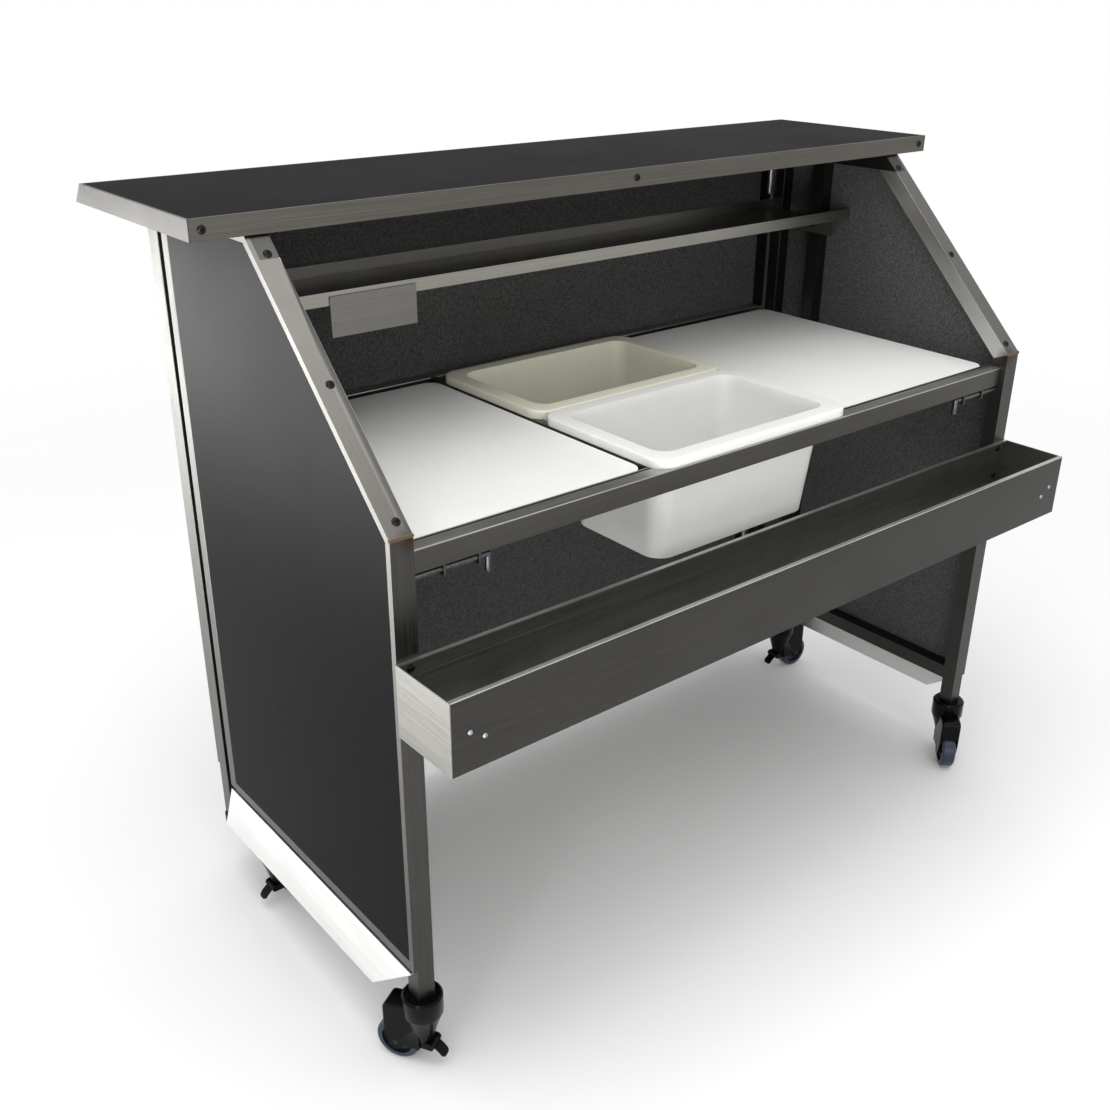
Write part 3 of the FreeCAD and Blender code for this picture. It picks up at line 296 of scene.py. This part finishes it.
def moulded_plastic(name, tone, pale, rough, peel, shine):
    """Injection moulded plastic: even colour, a soft gloss and a faint orange peel of about 1 mm."""
    material, tree, coords = new_material(name)
    peel_size, scuff_size = 0.0011, 0.012
    scuff_span, gloss_span, gloss_loss = (0.5, 0.8), (0.3, 0.75), 0.16
    skin_wave = noise(tree, coords, peel_size, 2.0)
    scuff = noise(tree, coords, scuff_size, 5.0, 0.65)
    colour = blend(tree, ramp(tree, scuff, scuff_span), tone, pale)
    gloss = ramp(tree, scuff, gloss_span, (rough, rough + gloss_loss))
    cover(tree, {"Base Color": colour, "Roughness": gloss, "IOR": 1.49, "Specular IOR Level": shine,
                 "Normal": relief(tree, skin_wave, peel, 0.0003)})
    return material


def geometry_tree(name, sizes):
    """A geometry nodes tree with the sizes as its named inputs, and the sockets of what it is given."""
    tree = bpy.data.node_groups.new(name, "GeometryNodeTree")
    tree.interface.new_socket("Geometry", in_out="INPUT", socket_type="NodeSocketGeometry")
    tree.interface.new_socket("Geometry", in_out="OUTPUT", socket_type="NodeSocketGeometry")
    for label, size in sizes.items():
        tree.interface.new_socket(label, in_out="INPUT", socket_type="NodeSocketFloat").default_value = size
    return tree, put(tree, "NodeGroupInput").outputs


def creased(tree, geometry, angle):
    """The geometry with its faces shaded smoothly and its edges past the angle kept sharp."""
    shaded = put(tree, "GeometryNodeSetShadeSmooth", {"Geometry": geometry}, domain="FACE").outputs[0]
    fold = put(tree, "GeometryNodeInputMeshEdgeAngle").outputs["Unsigned Angle"]
    crease = put(tree, "FunctionNodeCompare", {0: fold, 1: angle}, operation="GREATER_THAN").outputs[0]
    inputs = {"Geometry": shaded, "Selection": crease, "Shade Smooth": False}
    return put(tree, "GeometryNodeSetShadeSmooth", inputs, domain="EDGE").outputs[0]


rounding, given = geometry_tree("smooth_round_faces", {"Sharp Angle": 0.5})
joined = put(rounding, "GeometryNodeMergeByDistance", {"Geometry": given["Geometry"], "Distance": MERGE_GAP})
shaded = creased(rounding, joined.outputs[0], given["Sharp Angle"])
put(rounding, "NodeGroupOutput", {"Geometry": shaded})


def smooth(node):
    """Shades a CAD node's round faces smoothly and keeps its creases, on the evaluated mesh."""
    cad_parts[node].modifiers.new("smooth", "NODES").node_group = rounding


dress("front_post_feet", moulded_plastic("moulded_black_polyethylene", "#101011", "#1e1e1f", 0.34, 0.08, 0.3))
smooth("front_post_feet")

# Corner hinges, latch pins, pegs and caster stems: zinc plated mild steel, drawn or pressed.
# Zinc gives a dull blue grey with small spangles.


def zinc_plate(name, dark, light):
    """Bright zinc over steel: a cool grey with cloudy spangles of a few millimetres."""
    material, tree, coords = new_material(name)
    spangle_size = 0.003
    spangle = put(tree, "ShaderNodeTexVoronoi", {"Vector": coords, "Scale": 1 / spangle_size})
    grey = put(tree, "ShaderNodeRGBToBW", {"Color": spangle.outputs["Color"]}).outputs["Val"]
    gloss = ramp(tree, grey, (0.0, 1.0), (0.28, 0.42))
    cover(tree, {"Base Color": blend(tree, grey, dark, light), "Metallic": 1.0, "Roughness": gloss})
    return material


zinc = zinc_plate("zinc_plated_steel", "#85888b", "#aeb0b1")
dull_zinc = zinc_plate("dulled_zinc_plated_steel", "#4a4c4f", "#626568")
for node, plating in (("corner_hinges", zinc), ("counter_pegs", zinc), ("caster_stems", zinc),
                      ("right_latch_pin", dull_zinc), ("left_latch_pin", dull_zinc)):
    dress(node, plating)
    smooth(node)

# Deck frame: a rear and a front rail of stainless tube joined by two cross rails, with ledges that hold
# the boards. The latch guides are welded under the rear rail.
DECK_TOP = 0.765
RIM = 0.0015
DECK_RAIL_EDGE, CROSS_RAIL_EDGE = 0.0010, 0.0008
# Painted highlight: the top rim of the deck rails gets near white tones.
top_rim_highlight = ("Z", 0.0, DECK_TOP - RIM, "#b9b8b4", "#a3a29e")
deck_steel = brushed_stainless("brushed_stainless_deck", "#575551", "#474541", painted_face_light=(top_rim_highlight,))
deck_steel_deep = brushed_stainless("brushed_stainless_deck_deep", "#6c6a66", "#5a5854", GRAIN_Y)
for node in ("deck_rear_rail", "deck_front_rail"):
    dress(node, deck_steel, DECK_RAIL_EDGE)
for node in ("right_deck_cross_rail", "left_deck_cross_rail"):
    dress(node, deck_steel_deep, CROSS_RAIL_EDGE)

# Cutting boards: white high density polyethylene sheet, planed smooth, with rounded corners.
# Use leaves fine pale knife marks in many directions.


def cutting_board():
    """White polyethylene with knife marks in four directions, each a thin crest of stretched noise."""
    material, tree, coords = new_material("white_polyethylene_board")
    marks_per_metre, mark_span, mark_share = (12.0, 700.0, 1.0), (0.66, 0.74), 0.18
    stains_per_metre = 9.0
    marks = None
    for turn in (20, 68, 121, 160):
        turned = put(tree, "ShaderNodeVectorRotate", {"Vector": coords, "Angle": math.radians(turn)},
                     rotation_type="Z_AXIS").outputs["Vector"]
        cuts = noise(tree, stretch(tree, turned, marks_per_metre), 1.0, 1.0)
        sharp = ramp(tree, cuts, mark_span)
        marks = sharp if marks is None else maths(tree, "MAXIMUM", marks, sharp)
    stain = noise(tree, coords, 1 / stains_per_metre, 4.0)
    base = blend(tree, stain, "#e8e8e6", "#dfdfdc")
    faint = maths(tree, "MULTIPLY", marks, mark_share)
    cover(tree, {"Base Color": blend(tree, faint, base, "#c9c9c4"), "Roughness": 0.48, "IOR": 1.54,
                 "Subsurface Weight": 0.08, "Subsurface Scale": 0.004,
                 "Normal": relief(tree, marks, 0.25, 0.0003, sunk=True)})
    return material


board_white = cutting_board()
for node in ("right_cutting_board", "left_cutting_board"):
    dress(node, board_white)
    smooth(node)

# Tubs: food grade polyethylene, moulded with a wide rolled rim that rests on the deck rails.
# The plastic is a little translucent, and the tub on the customer's side is given a yellower tone.


def tub_plastic(name, tone, pale):
    """Translucent moulded polyethylene, with faint upright draw lines from leaving the mould."""
    material, tree, coords = new_material(name)
    draw_lines_per_metre, clouds_per_metre = (260.0, 260.0, 9.0), 14.0
    draw = noise(tree, stretch(tree, coords, draw_lines_per_metre), 1.0, 3.0)
    cloud = noise(tree, coords, 1 / clouds_per_metre, 3.0)
    gloss = ramp(tree, draw, NOISE_SPAN, (0.30, 0.42))
    cover(tree, {"Base Color": blend(tree, cloud, tone, pale), "Roughness": gloss, "IOR": 1.51,
                 "Subsurface Weight": 0.5, "Subsurface Scale": 0.012, "Subsurface Radius": (1.0, 0.95, 0.8),
                 "Normal": relief(tree, draw, 0.06, 0.0004)})
    return material


dress("rear_tub", tub_plastic("white_polyethylene_tub", "#e8e8e5", "#dfdfdb"))
dress("front_tub", tub_plastic("yellow_tinted_polyethylene_tub", "#e0decd", "#d6d4c1"))
for node in ("rear_tub", "front_tub"):
    smooth(node)

# Upper shelf: one folded stainless sheet screwed to the uprights, with a hemmed lip, and a plain plate
# spot welded on the lip.
THIN_EDGE = 0.0004
dress("upper_shelf", brushed_stainless("brushed_sheet_shelf", "#98968f", "#85837d"), THIN_EDGE)
dress("shelf_lip_plate", brushed_stainless("brushed_sheet_lip_plate", "#7c7a76", "#6b6965"), THIN_EDGE)

# Bottle rail: a folded stainless trough with hemmed top edges, closed by riveted end caps.
# It is screwed to the rear posts from inside.
RAIL_FACE = 0.370
RAIL_TOP = 0.635
# Painted light: the trough's inside wall gets lighter tones than its outside, and the hemmed top edges a
# painted highlight.
trough_inside_light = ("Y", RAIL_FACE - 2 * SKIN, 1.0, "#a09f9b", "#8e8d89")
hem_highlight = ("Z", 0.0, RAIL_TOP - RIM, "#c4c3bf", "#b3b2ae")
rail_steel = brushed_stainless("brushed_sheet_bottle_rail", "#464542", "#393837",
                               painted_face_light=(trough_inside_light, hem_highlight))
# Painted highlight: the inner faces of the end caps get near white tones.
cap_inside_highlight = ("X", WALL_FACE - 2 * SKIN, 1.0, "#e2e2df", "#d2d2cf")
cap_steel = brushed_stainless("brushed_sheet_end_cap", "#84837f", "#757470", GRAIN_Y, painted_face_light=(cap_inside_highlight,))
dress("bottle_rail_trough", rail_steel, THIN_EDGE)
for node in ("right_bottle_rail_end", "left_bottle_rail_end"):
    dress(node, cap_steel, THIN_EDGE)

# Counter: a board with the same black laminate on top, edged all round with folded stainless trim.
# The front trim leans out, and the rear trim is screwed on.
dress("counter_board", black_laminate("black_laminate_counter", "#0f0f10", "#181819", 0.50, 0.01))
COUNTER_END = 0.678
counter_steel = brushed_stainless("brushed_trim_front", "#96948f", "#7a7873")
# Painted shade: the ends of the edge trim get darker tones than its long sides.
counter_end_shade = ("X", 0.0, COUNTER_END - RIM, "#4f4d4a", "#454340")
edge_steel = brushed_stainless("brushed_trim_edge", "#66635e", "#55524d", painted_face_light=(counter_end_shade,))
dress("counter_front_trim", counter_steel, THIN_EDGE)
dress("counter_edge_trim", edge_steel, THIN_EDGE)

# Screws: domed steel with a black oxide finish and a cross recess, turned in by hand, so that no two
# recesses point the same way. They hold the plinth, slant tubes, kick plates, shelf and counter trim.


def fastener_tree(name, material, sizes):
    """Geometry nodes for one kind of domed fastener, set on each point and aimed along its aim attribute.

    It has a cross recess if the sizes hold one.
    """
    tree, given = geometry_tree(name, sizes)
    radius, height = given["Head Radius"], given["Head Height"]
    ball = put(tree, "GeometryNodeMeshUVSphere", {"Segments": 28, "Rings": 16, "Radius": 1.0}).outputs["Mesh"]
    half_sizes = put(tree, "ShaderNodeCombineXYZ", {"X": radius, "Y": radius, "Z": height}).outputs[0]
    dome = put(tree, "GeometryNodeTransform", {"Geometry": ball, "Scale": half_sizes}).outputs[0]
    base_scale = (4.0, 4.0, 2.0)
    base_size = put(tree, "ShaderNodeVectorMath", {0: half_sizes, 1: base_scale},
                    operation="MULTIPLY").outputs[0]
    base_place = put(tree, "ShaderNodeCombineXYZ", {"Z": maths(tree, "MULTIPLY", height, -1.0)}).outputs[0]
    base = put(tree, "GeometryNodeMeshCube", {"Size": base_size}).outputs["Mesh"]
    cutters = [put(tree, "GeometryNodeTransform", {"Geometry": base, "Translation": base_place}).outputs[0]]
    if "Recess Depth" in sizes:
        crown = put(tree, "ShaderNodeCombineXYZ", {"Z": height}).outputs[0]
        length, width, depth = given["Recess Length"], given["Recess Width"], given["Recess Depth"]
        for across, along in ((length, width), (width, length)):
            bar_size = put(tree, "ShaderNodeCombineXYZ", {"X": across, "Y": along, "Z": depth}).outputs[0]
            bar = put(tree, "GeometryNodeMeshCube", {"Size": bar_size}).outputs["Mesh"]
            slot = put(tree, "GeometryNodeTransform", {"Geometry": bar, "Translation": crown})
            cutters.append(slot.outputs[0])
    head = put(tree, "GeometryNodeMeshBoolean", {"Mesh 1": dome, "Mesh 2": cutters}, operation="DIFFERENCE")
    shank = put(tree, "GeometryNodeMeshCylinder", {"Vertices": 16, "Radius": given["Shank Radius"],
                                                   "Depth": given["Shank Length"]}).outputs["Mesh"]
    sink = maths(tree, "MULTIPLY", given["Shank Length"], -0.5)
    sink_place = put(tree, "ShaderNodeCombineXYZ", {"Z": sink}).outputs[0]
    shank = put(tree, "GeometryNodeTransform", {"Geometry": shank, "Translation": sink_place}).outputs[0]
    whole = put(tree, "GeometryNodeJoinGeometry", {"Geometry": [head.outputs["Mesh"], shank]}).outputs[0]
    aim = put(tree, "GeometryNodeInputNamedAttribute", {"Name": "aim"}, data_type="FLOAT_VECTOR").outputs[0]
    facing = put(tree, "FunctionNodeAlignRotationToVector", {"Vector": aim}, axis="Z").outputs[0]
    spin_seed = 11
    spin = put(tree, "FunctionNodeRandomValue", {2: 0.0, 3: math.tau, "Seed": spin_seed}, data_type="FLOAT")
    spin_inputs = {"Axis": (0, 0, 1), "Angle": spin.outputs[1]}
    twist = put(tree, "FunctionNodeAxisAngleToRotation", spin_inputs).outputs[0]
    turned = put(tree, "FunctionNodeRotateRotation", {"Rotation": facing, "Rotate By": twist},
                 rotation_space="LOCAL").outputs[0]
    placed = put(tree, "GeometryNodeInstanceOnPoints", {"Points": given["Geometry"], "Instance": whole,
                                                        "Rotation": turned}).outputs[0]
    solid = put(tree, "GeometryNodeRealizeInstances", {"Geometry": placed}).outputs[0]
    crease_angle = math.radians(35)
    solid = creased(tree, solid, crease_angle)
    solid = put(tree, "GeometryNodeSetMaterial", {"Geometry": solid, "Material": material}).outputs[0]
    put(tree, "NodeGroupOutput", {"Geometry": solid})
    return tree


def grown(name, tree, seats, body, sizes=None):
    """The tree's result on the seats, which are (place, aim) pairs, as one mesh that rides on the body."""
    points = bpy.data.meshes.new(name + "_seats")
    points.from_pydata([place for place, aim in seats], [], [])
    aims = points.attributes.new("aim", "FLOAT_VECTOR", "POINT")
    aims.data.foreach_set("vector", [v for place, aim in seats for v in aim])
    holder = bpy.data.objects.new(name + "_seats", points)
    bpy.context.scene.collection.objects.link(holder)
    nodes = holder.modifiers.new("grow", "NODES")
    nodes.node_group = tree
    for item in tree.interface.items_tree:
        if item.in_out == "INPUT" and item.name in (sizes or {}):
            nodes[item.identifier] = sizes[item.name]
    ready = holder.evaluated_get(bpy.context.evaluated_depsgraph_get())
    mesh = bpy.data.meshes.new_from_object(ready)
    bpy.data.objects.remove(holder)
    piece = bpy.data.objects.new(name, mesh)
    bpy.context.scene.collection.objects.link(piece)
    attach(piece, body)
    return piece


black_oxide = moulded_plastic("black_oxide_steel", "#0c0c0c", "#1f1e1d", 0.32, 0.05, 0.2)
screw_sizes = {"Head Radius": 0.0055, "Head Height": 0.0028, "Recess Length": 0.0058, "Recess Width": 0.0013,
               "Recess Depth": 0.0034, "Shank Radius": 0.002, "Shank Length": 0.012}
screws = fastener_tree("cross_recess_screws", black_oxide, screw_sizes)
PLINTH_SCREW_HEIGHT = 0.1595
KICK_PLATE_UNDERSIDE = 0.1635
SIDE_WALL_START = -0.269
UPRIGHT_MIDDLE = -0.165
SHELF_WING_FACE = 0.5775
SHELF_SCREW_HEIGHT = 0.939
PLINTH_SCREWS_OUT = (0.065, 0.300, 0.560)
SLANT_SCREWS_UP = (0.020, 0.198, 0.376)
KICK_SCREWS_BACK = (0.055, 0.290, 0.480)
seats = [((side * out, FRONT_FACE, PLINTH_SCREW_HEIGHT), (0, -1, 0))
         for out in PLINTH_SCREWS_OUT for side in (1, -1)]
slope = math.sqrt(0.5)
for side in (1, -1):
    seats += [((side * WALL_MIDDLE, REAR_FACE - slope * up, KNEE_HEIGHT + slope * up), (0, slope, slope))
              for up in SLANT_SCREWS_UP]
    seats += [((side * WALL_MIDDLE, SIDE_WALL_START + back, KICK_PLATE_UNDERSIDE), (0, 0, -1))
              for back in KICK_SCREWS_BACK]
    seats.append(((side * SHELF_WING_FACE, UPRIGHT_MIDDLE, SHELF_SCREW_HEIGHT), (-side, 0, 0)))
panel_heads = grown("panel_screw_heads", screws, seats, "frame")
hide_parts("panel_screws")
COUNTER_BACK = -0.019
COUNTER_MIDDLE = 1.087
TRIM_SCREW_INSET = 0.016
TRIM_SCREW_LENGTH = 0.016
trim_screw_reach = COUNTER_END - TRIM_SCREW_INSET
seats = [((x, COUNTER_BACK, COUNTER_MIDDLE), (0, 1, 0)) for x in (-trim_screw_reach, 0.0, trim_screw_reach)]
trim_heads = grown("counter_trim_screw_heads", screws, seats, "counter", {"Shank Length": TRIM_SCREW_LENGTH})
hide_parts("counter_trim_screws")

# Rivets and screws of the bottle rail: zinc plated dome rivets through the end caps' tabs, and cross
# recess screws through the trough into the rear posts.
rivet_sizes = {"Head Radius": 0.0035, "Head Height": 0.002, "Shank Radius": 0.0016, "Shank Length": 0.003}
bright_rivets = fastener_tree("dome_rivets", zinc, rivet_sizes)
RIVET_INSETS_AND_DROPS = ((0.025, 0.047), (0.045, 0.059))
seats = [((side * (WALL_FACE - inset), RAIL_FACE, RAIL_TOP - drop), (0, 1, 0))
         for side in (1, -1) for inset, drop in RIVET_INSETS_AND_DROPS]
rail_rivets = grown("bottle_rail_rivets", bright_rivets, seats, "frame")
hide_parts("bottle_rail_fasteners")
RAIL_SHEET = 0.0015
RAIL_SCREW_DROPS = (0.012, 0.060)
seats = [((side * WALL_MIDDLE, REAR_FACE + RAIL_SHEET, RAIL_TOP - drop), (0, 1, 0))
         for side in (1, -1) for drop in RAIL_SCREW_DROPS]
grown("bottle_rail_screw_heads", screws, seats, "frame")

# Weld beads at the knees: a short row of overlapping ripples across each mitre between the rear post and
# the slanted tube, left as welded, brown from the heat.
weld_metal = brushed_stainless("heat_tinted_weld", "#7a6a5a", "#54473b")
ripple_sizes = {"Head Radius": 0.0026, "Head Height": 0.0012, "Shank Radius": 0.0006, "Shank Length": 0.001}
ripples = fastener_tree("weld_ripples", weld_metal, ripple_sizes)
BEAD_START, RIPPLE_STEP, RIPPLES = 0.5805, 0.0022, 14
BEAD_DEPTH, BEAD_HEIGHT = 0.2617, 0.7878
mitre_aim = (0, 0.924, 0.383)
seats = [((side * (BEAD_START + RIPPLE_STEP * step), BEAD_DEPTH, BEAD_HEIGHT), mitre_aim)
         for side in (1, -1) for step in range(RIPPLES)]
grown("knee_weld_beads", ripples, seats, "frame")

# Casters: a moulded nylon fork with a swivel head on a steel stem, a wheel and a press-down brake pedal.
# The wheel's polyurethane tread is blue grey and bonded on a black core, so each wheel is coloured by the
# distance from its axle.


def caster_wheel(name, centre, axle):
    """A black core inside a scuffed blue grey tread, told apart by how far they lie from the axle."""
    material, tree, coords = new_material(name)
    tread_span, scuff_size = (0.0228, 0.0234), 0.006
    offset = put(tree, "ShaderNodeVectorMath", {0: coords, 1: centre}, operation="SUBTRACT").outputs[0]
    along = put(tree, "ShaderNodeVectorMath", {0: offset, 1: axle}, operation="DOT_PRODUCT").outputs["Value"]
    shift = put(tree, "ShaderNodeVectorMath", {0: axle, "Scale": along}, operation="SCALE").outputs[0]
    radial = put(tree, "ShaderNodeVectorMath", {0: offset, 1: shift}, operation="SUBTRACT").outputs[0]
    out = put(tree, "ShaderNodeVectorMath", {0: radial}, operation="LENGTH").outputs["Value"]
    on_tread = ramp(tree, out, tread_span)
    scuff = noise(tree, coords, scuff_size, 5.0, 0.7)
    rubbed = blend(tree, scuff, "#1f2430", "#363f55")
    gloss = ramp(tree, scuff, (0.0, 1.0), (0.2, 0.42))
    cover(tree, {"Base Color": blend(tree, on_tread, "#0e0e10", rubbed), "Roughness": gloss,
                 "Specular IOR Level": 0.3, "Normal": relief(tree, scuff, 0.08, 0.0003)})
    return material


REAR_POST_MIDDLE = 0.2495
WHEEL_RADIUS = 0.032
TRAIL = 0.036
hood_nylon = moulded_plastic("moulded_black_nylon", "#070708", "#0e0e0f", 0.12, 0.05, 0.10)
for corner, x, y, turn in (("rear_right", WALL_MIDDLE, REAR_POST_MIDDLE, -60),
                           ("rear_left", -WALL_MIDDLE, REAR_POST_MIDDLE, 45),
                           ("front_right", WALL_MIDDLE, UPRIGHT_MIDDLE, 180),
                           ("front_left", -WALL_MIDDLE, UPRIGHT_MIDDLE, 175)):
    back = Vector((math.cos(math.radians(turn)), math.sin(math.radians(turn)), 0))
    centre = Vector((x, y, WHEEL_RADIUS)) + TRAIL * back
    axle = Vector((-back.y, back.x, 0))
    dress("caster_" + corner + "_wheel", caster_wheel("polyurethane_tread_" + corner, centre, axle))
    dress("caster_" + corner + "_hood", hood_nylon)
    dress("caster_" + corner + "_pedal", hood_nylon)
    for piece in ("_wheel", "_hood", "_pedal"):
        smooth("caster_" + corner + piece)

# Studio: a plain pale floor that melts into a white surround, a large soft light overhead, a long low light
# card on the bar's right, whose reflection runs up the right wall, a soft fill and a small sparkle light.
scene = bpy.context.scene
scene.view_settings.view_transform = "Standard"
FLOOR_HALF = 6.0
MELT_START, MELT_END = 1.2, 3.4
floor_mesh = bpy.data.meshes.new("floor")
corners = [(FLOOR_HALF * x, FLOOR_HALF * y, 0) for x, y in ((-1, -1), (1, -1), (1, 1), (-1, 1))]
floor_mesh.from_pydata(corners, [], [(0, 1, 2, 3)])
floor = bpy.data.objects.new("floor", floor_mesh)
scene.collection.objects.link(floor)
floor_material, tree, coords = new_material("pale_floor")
away = put(tree, "ShaderNodeVectorMath", {0: coords}, operation="LENGTH").outputs["Value"]
melt = put(tree, "ShaderNodeMapRange", {"Value": away, "From Min": MELT_START, "From Max": MELT_END},
           interpolation_type="SMOOTHSTEP").outputs["Result"]
matte = put(tree, "ShaderNodeBsdfDiffuse", {"Color": linear("#fafafa")}).outputs["BSDF"]
clear = put(tree, "ShaderNodeBsdfTransparent").outputs["BSDF"]
ground = put(tree, "ShaderNodeMixShader", {0: melt, 1: matte, 2: clear})
put(tree, "ShaderNodeOutputMaterial", {"Surface": ground.outputs["Shader"]})
floor_mesh.materials.append(floor_material)

world = bpy.data.worlds.new("studio")
scene.world = world
world.use_nodes = True
tree = world.node_tree
tree.nodes.clear()
toward = put(tree, "ShaderNodeTexCoord").outputs["Generated"]
split = put(tree, "ShaderNodeSeparateXYZ", {"Vector": toward})
from_right = ramp(tree, split.outputs["X"], (0.1, 0.9), (0.0, 0.4))
from_above = ramp(tree, split.outputs["Z"], (0.0, 1.0), (0.44, 0.85))
glow = maths(tree, "ADD", from_right, from_above)
rays = put(tree, "ShaderNodeLightPath").outputs
shown = maths(tree, "MAXIMUM", rays["Is Camera Ray"], rays["Is Glossy Ray"])
shown = maths(tree, "MAXIMUM", shown, rays["Is Transmission Ray"])
seen = put(tree, "ShaderNodeMix", {"Factor": shown, 2: glow, 3: 1.0}, data_type="FLOAT").outputs[0]
shine = put(tree, "ShaderNodeBackground", {"Color": (1, 1, 1, 1), "Strength": seen})
put(tree, "ShaderNodeOutputWorld", {"Surface": shine.outputs["Background"]})


def soft_light(name, place, aim, size, power):
    """A rectangular light of that size in metres and power in watts, turned towards its aim."""
    lamp = bpy.data.lights.new(name, "AREA")
    lamp.shape = "RECTANGLE"
    lamp.size, lamp.size_y = size
    lamp.energy = power
    holder = bpy.data.objects.new(name, lamp)
    holder.location = place
    holder.rotation_euler = (Vector(aim) - Vector(place)).to_track_quat("-Z", "Y").to_euler()
    scene.collection.objects.link(holder)


soft_light("overhead", (0.4, 0.3, 3.4), (0, 0, 0.6), (3.0, 2.4), 54)
soft_light("right_card", (2.45, 0.0, 0.01), (2.45, 0.0, 1.0), (1.9, 12.0), 640)
soft_light("bartender_fill", (1.4, 3.0, 1.3), (0, 0.2, 0.6), (2.2, 1.4), 22)
soft_light("sparkle", (2.3, 1.2, 1.9), (0.5, 0.3, 0.3), (0.4, 0.4), 4)

# Camera: stands behind the bar on its right, 1.34 m up, at the place and angle of the photograph.
# Its angles are the heading from +Y, the tilt down and the small lean of the picture.
camera_place = (1.2418, 1.3209, 1.3446)
turn, tilt, lean = 3.826271, 0.437753, 0.005614
forward = Vector((math.sin(turn) * math.cos(tilt), math.cos(turn) * math.cos(tilt), -math.sin(tilt)))
level = Vector((math.cos(turn), -math.sin(turn), 0))
upward = level.cross(forward)
right = math.cos(lean) * level + math.sin(lean) * upward
up = math.cos(lean) * upward - math.sin(lean) * level
camera_data = bpy.data.cameras.new("camera")
camera = bpy.data.objects.new("camera", camera_data)
scene.collection.objects.link(camera)
facing = Matrix([[right[i], up[i], -forward[i]] for i in range(3)])
camera.matrix_world = Matrix.Translation(camera_place) @ facing.to_4x4()
camera_data.lens = 40.0
camera_data.sensor_width = 36.0
scene.camera = camera
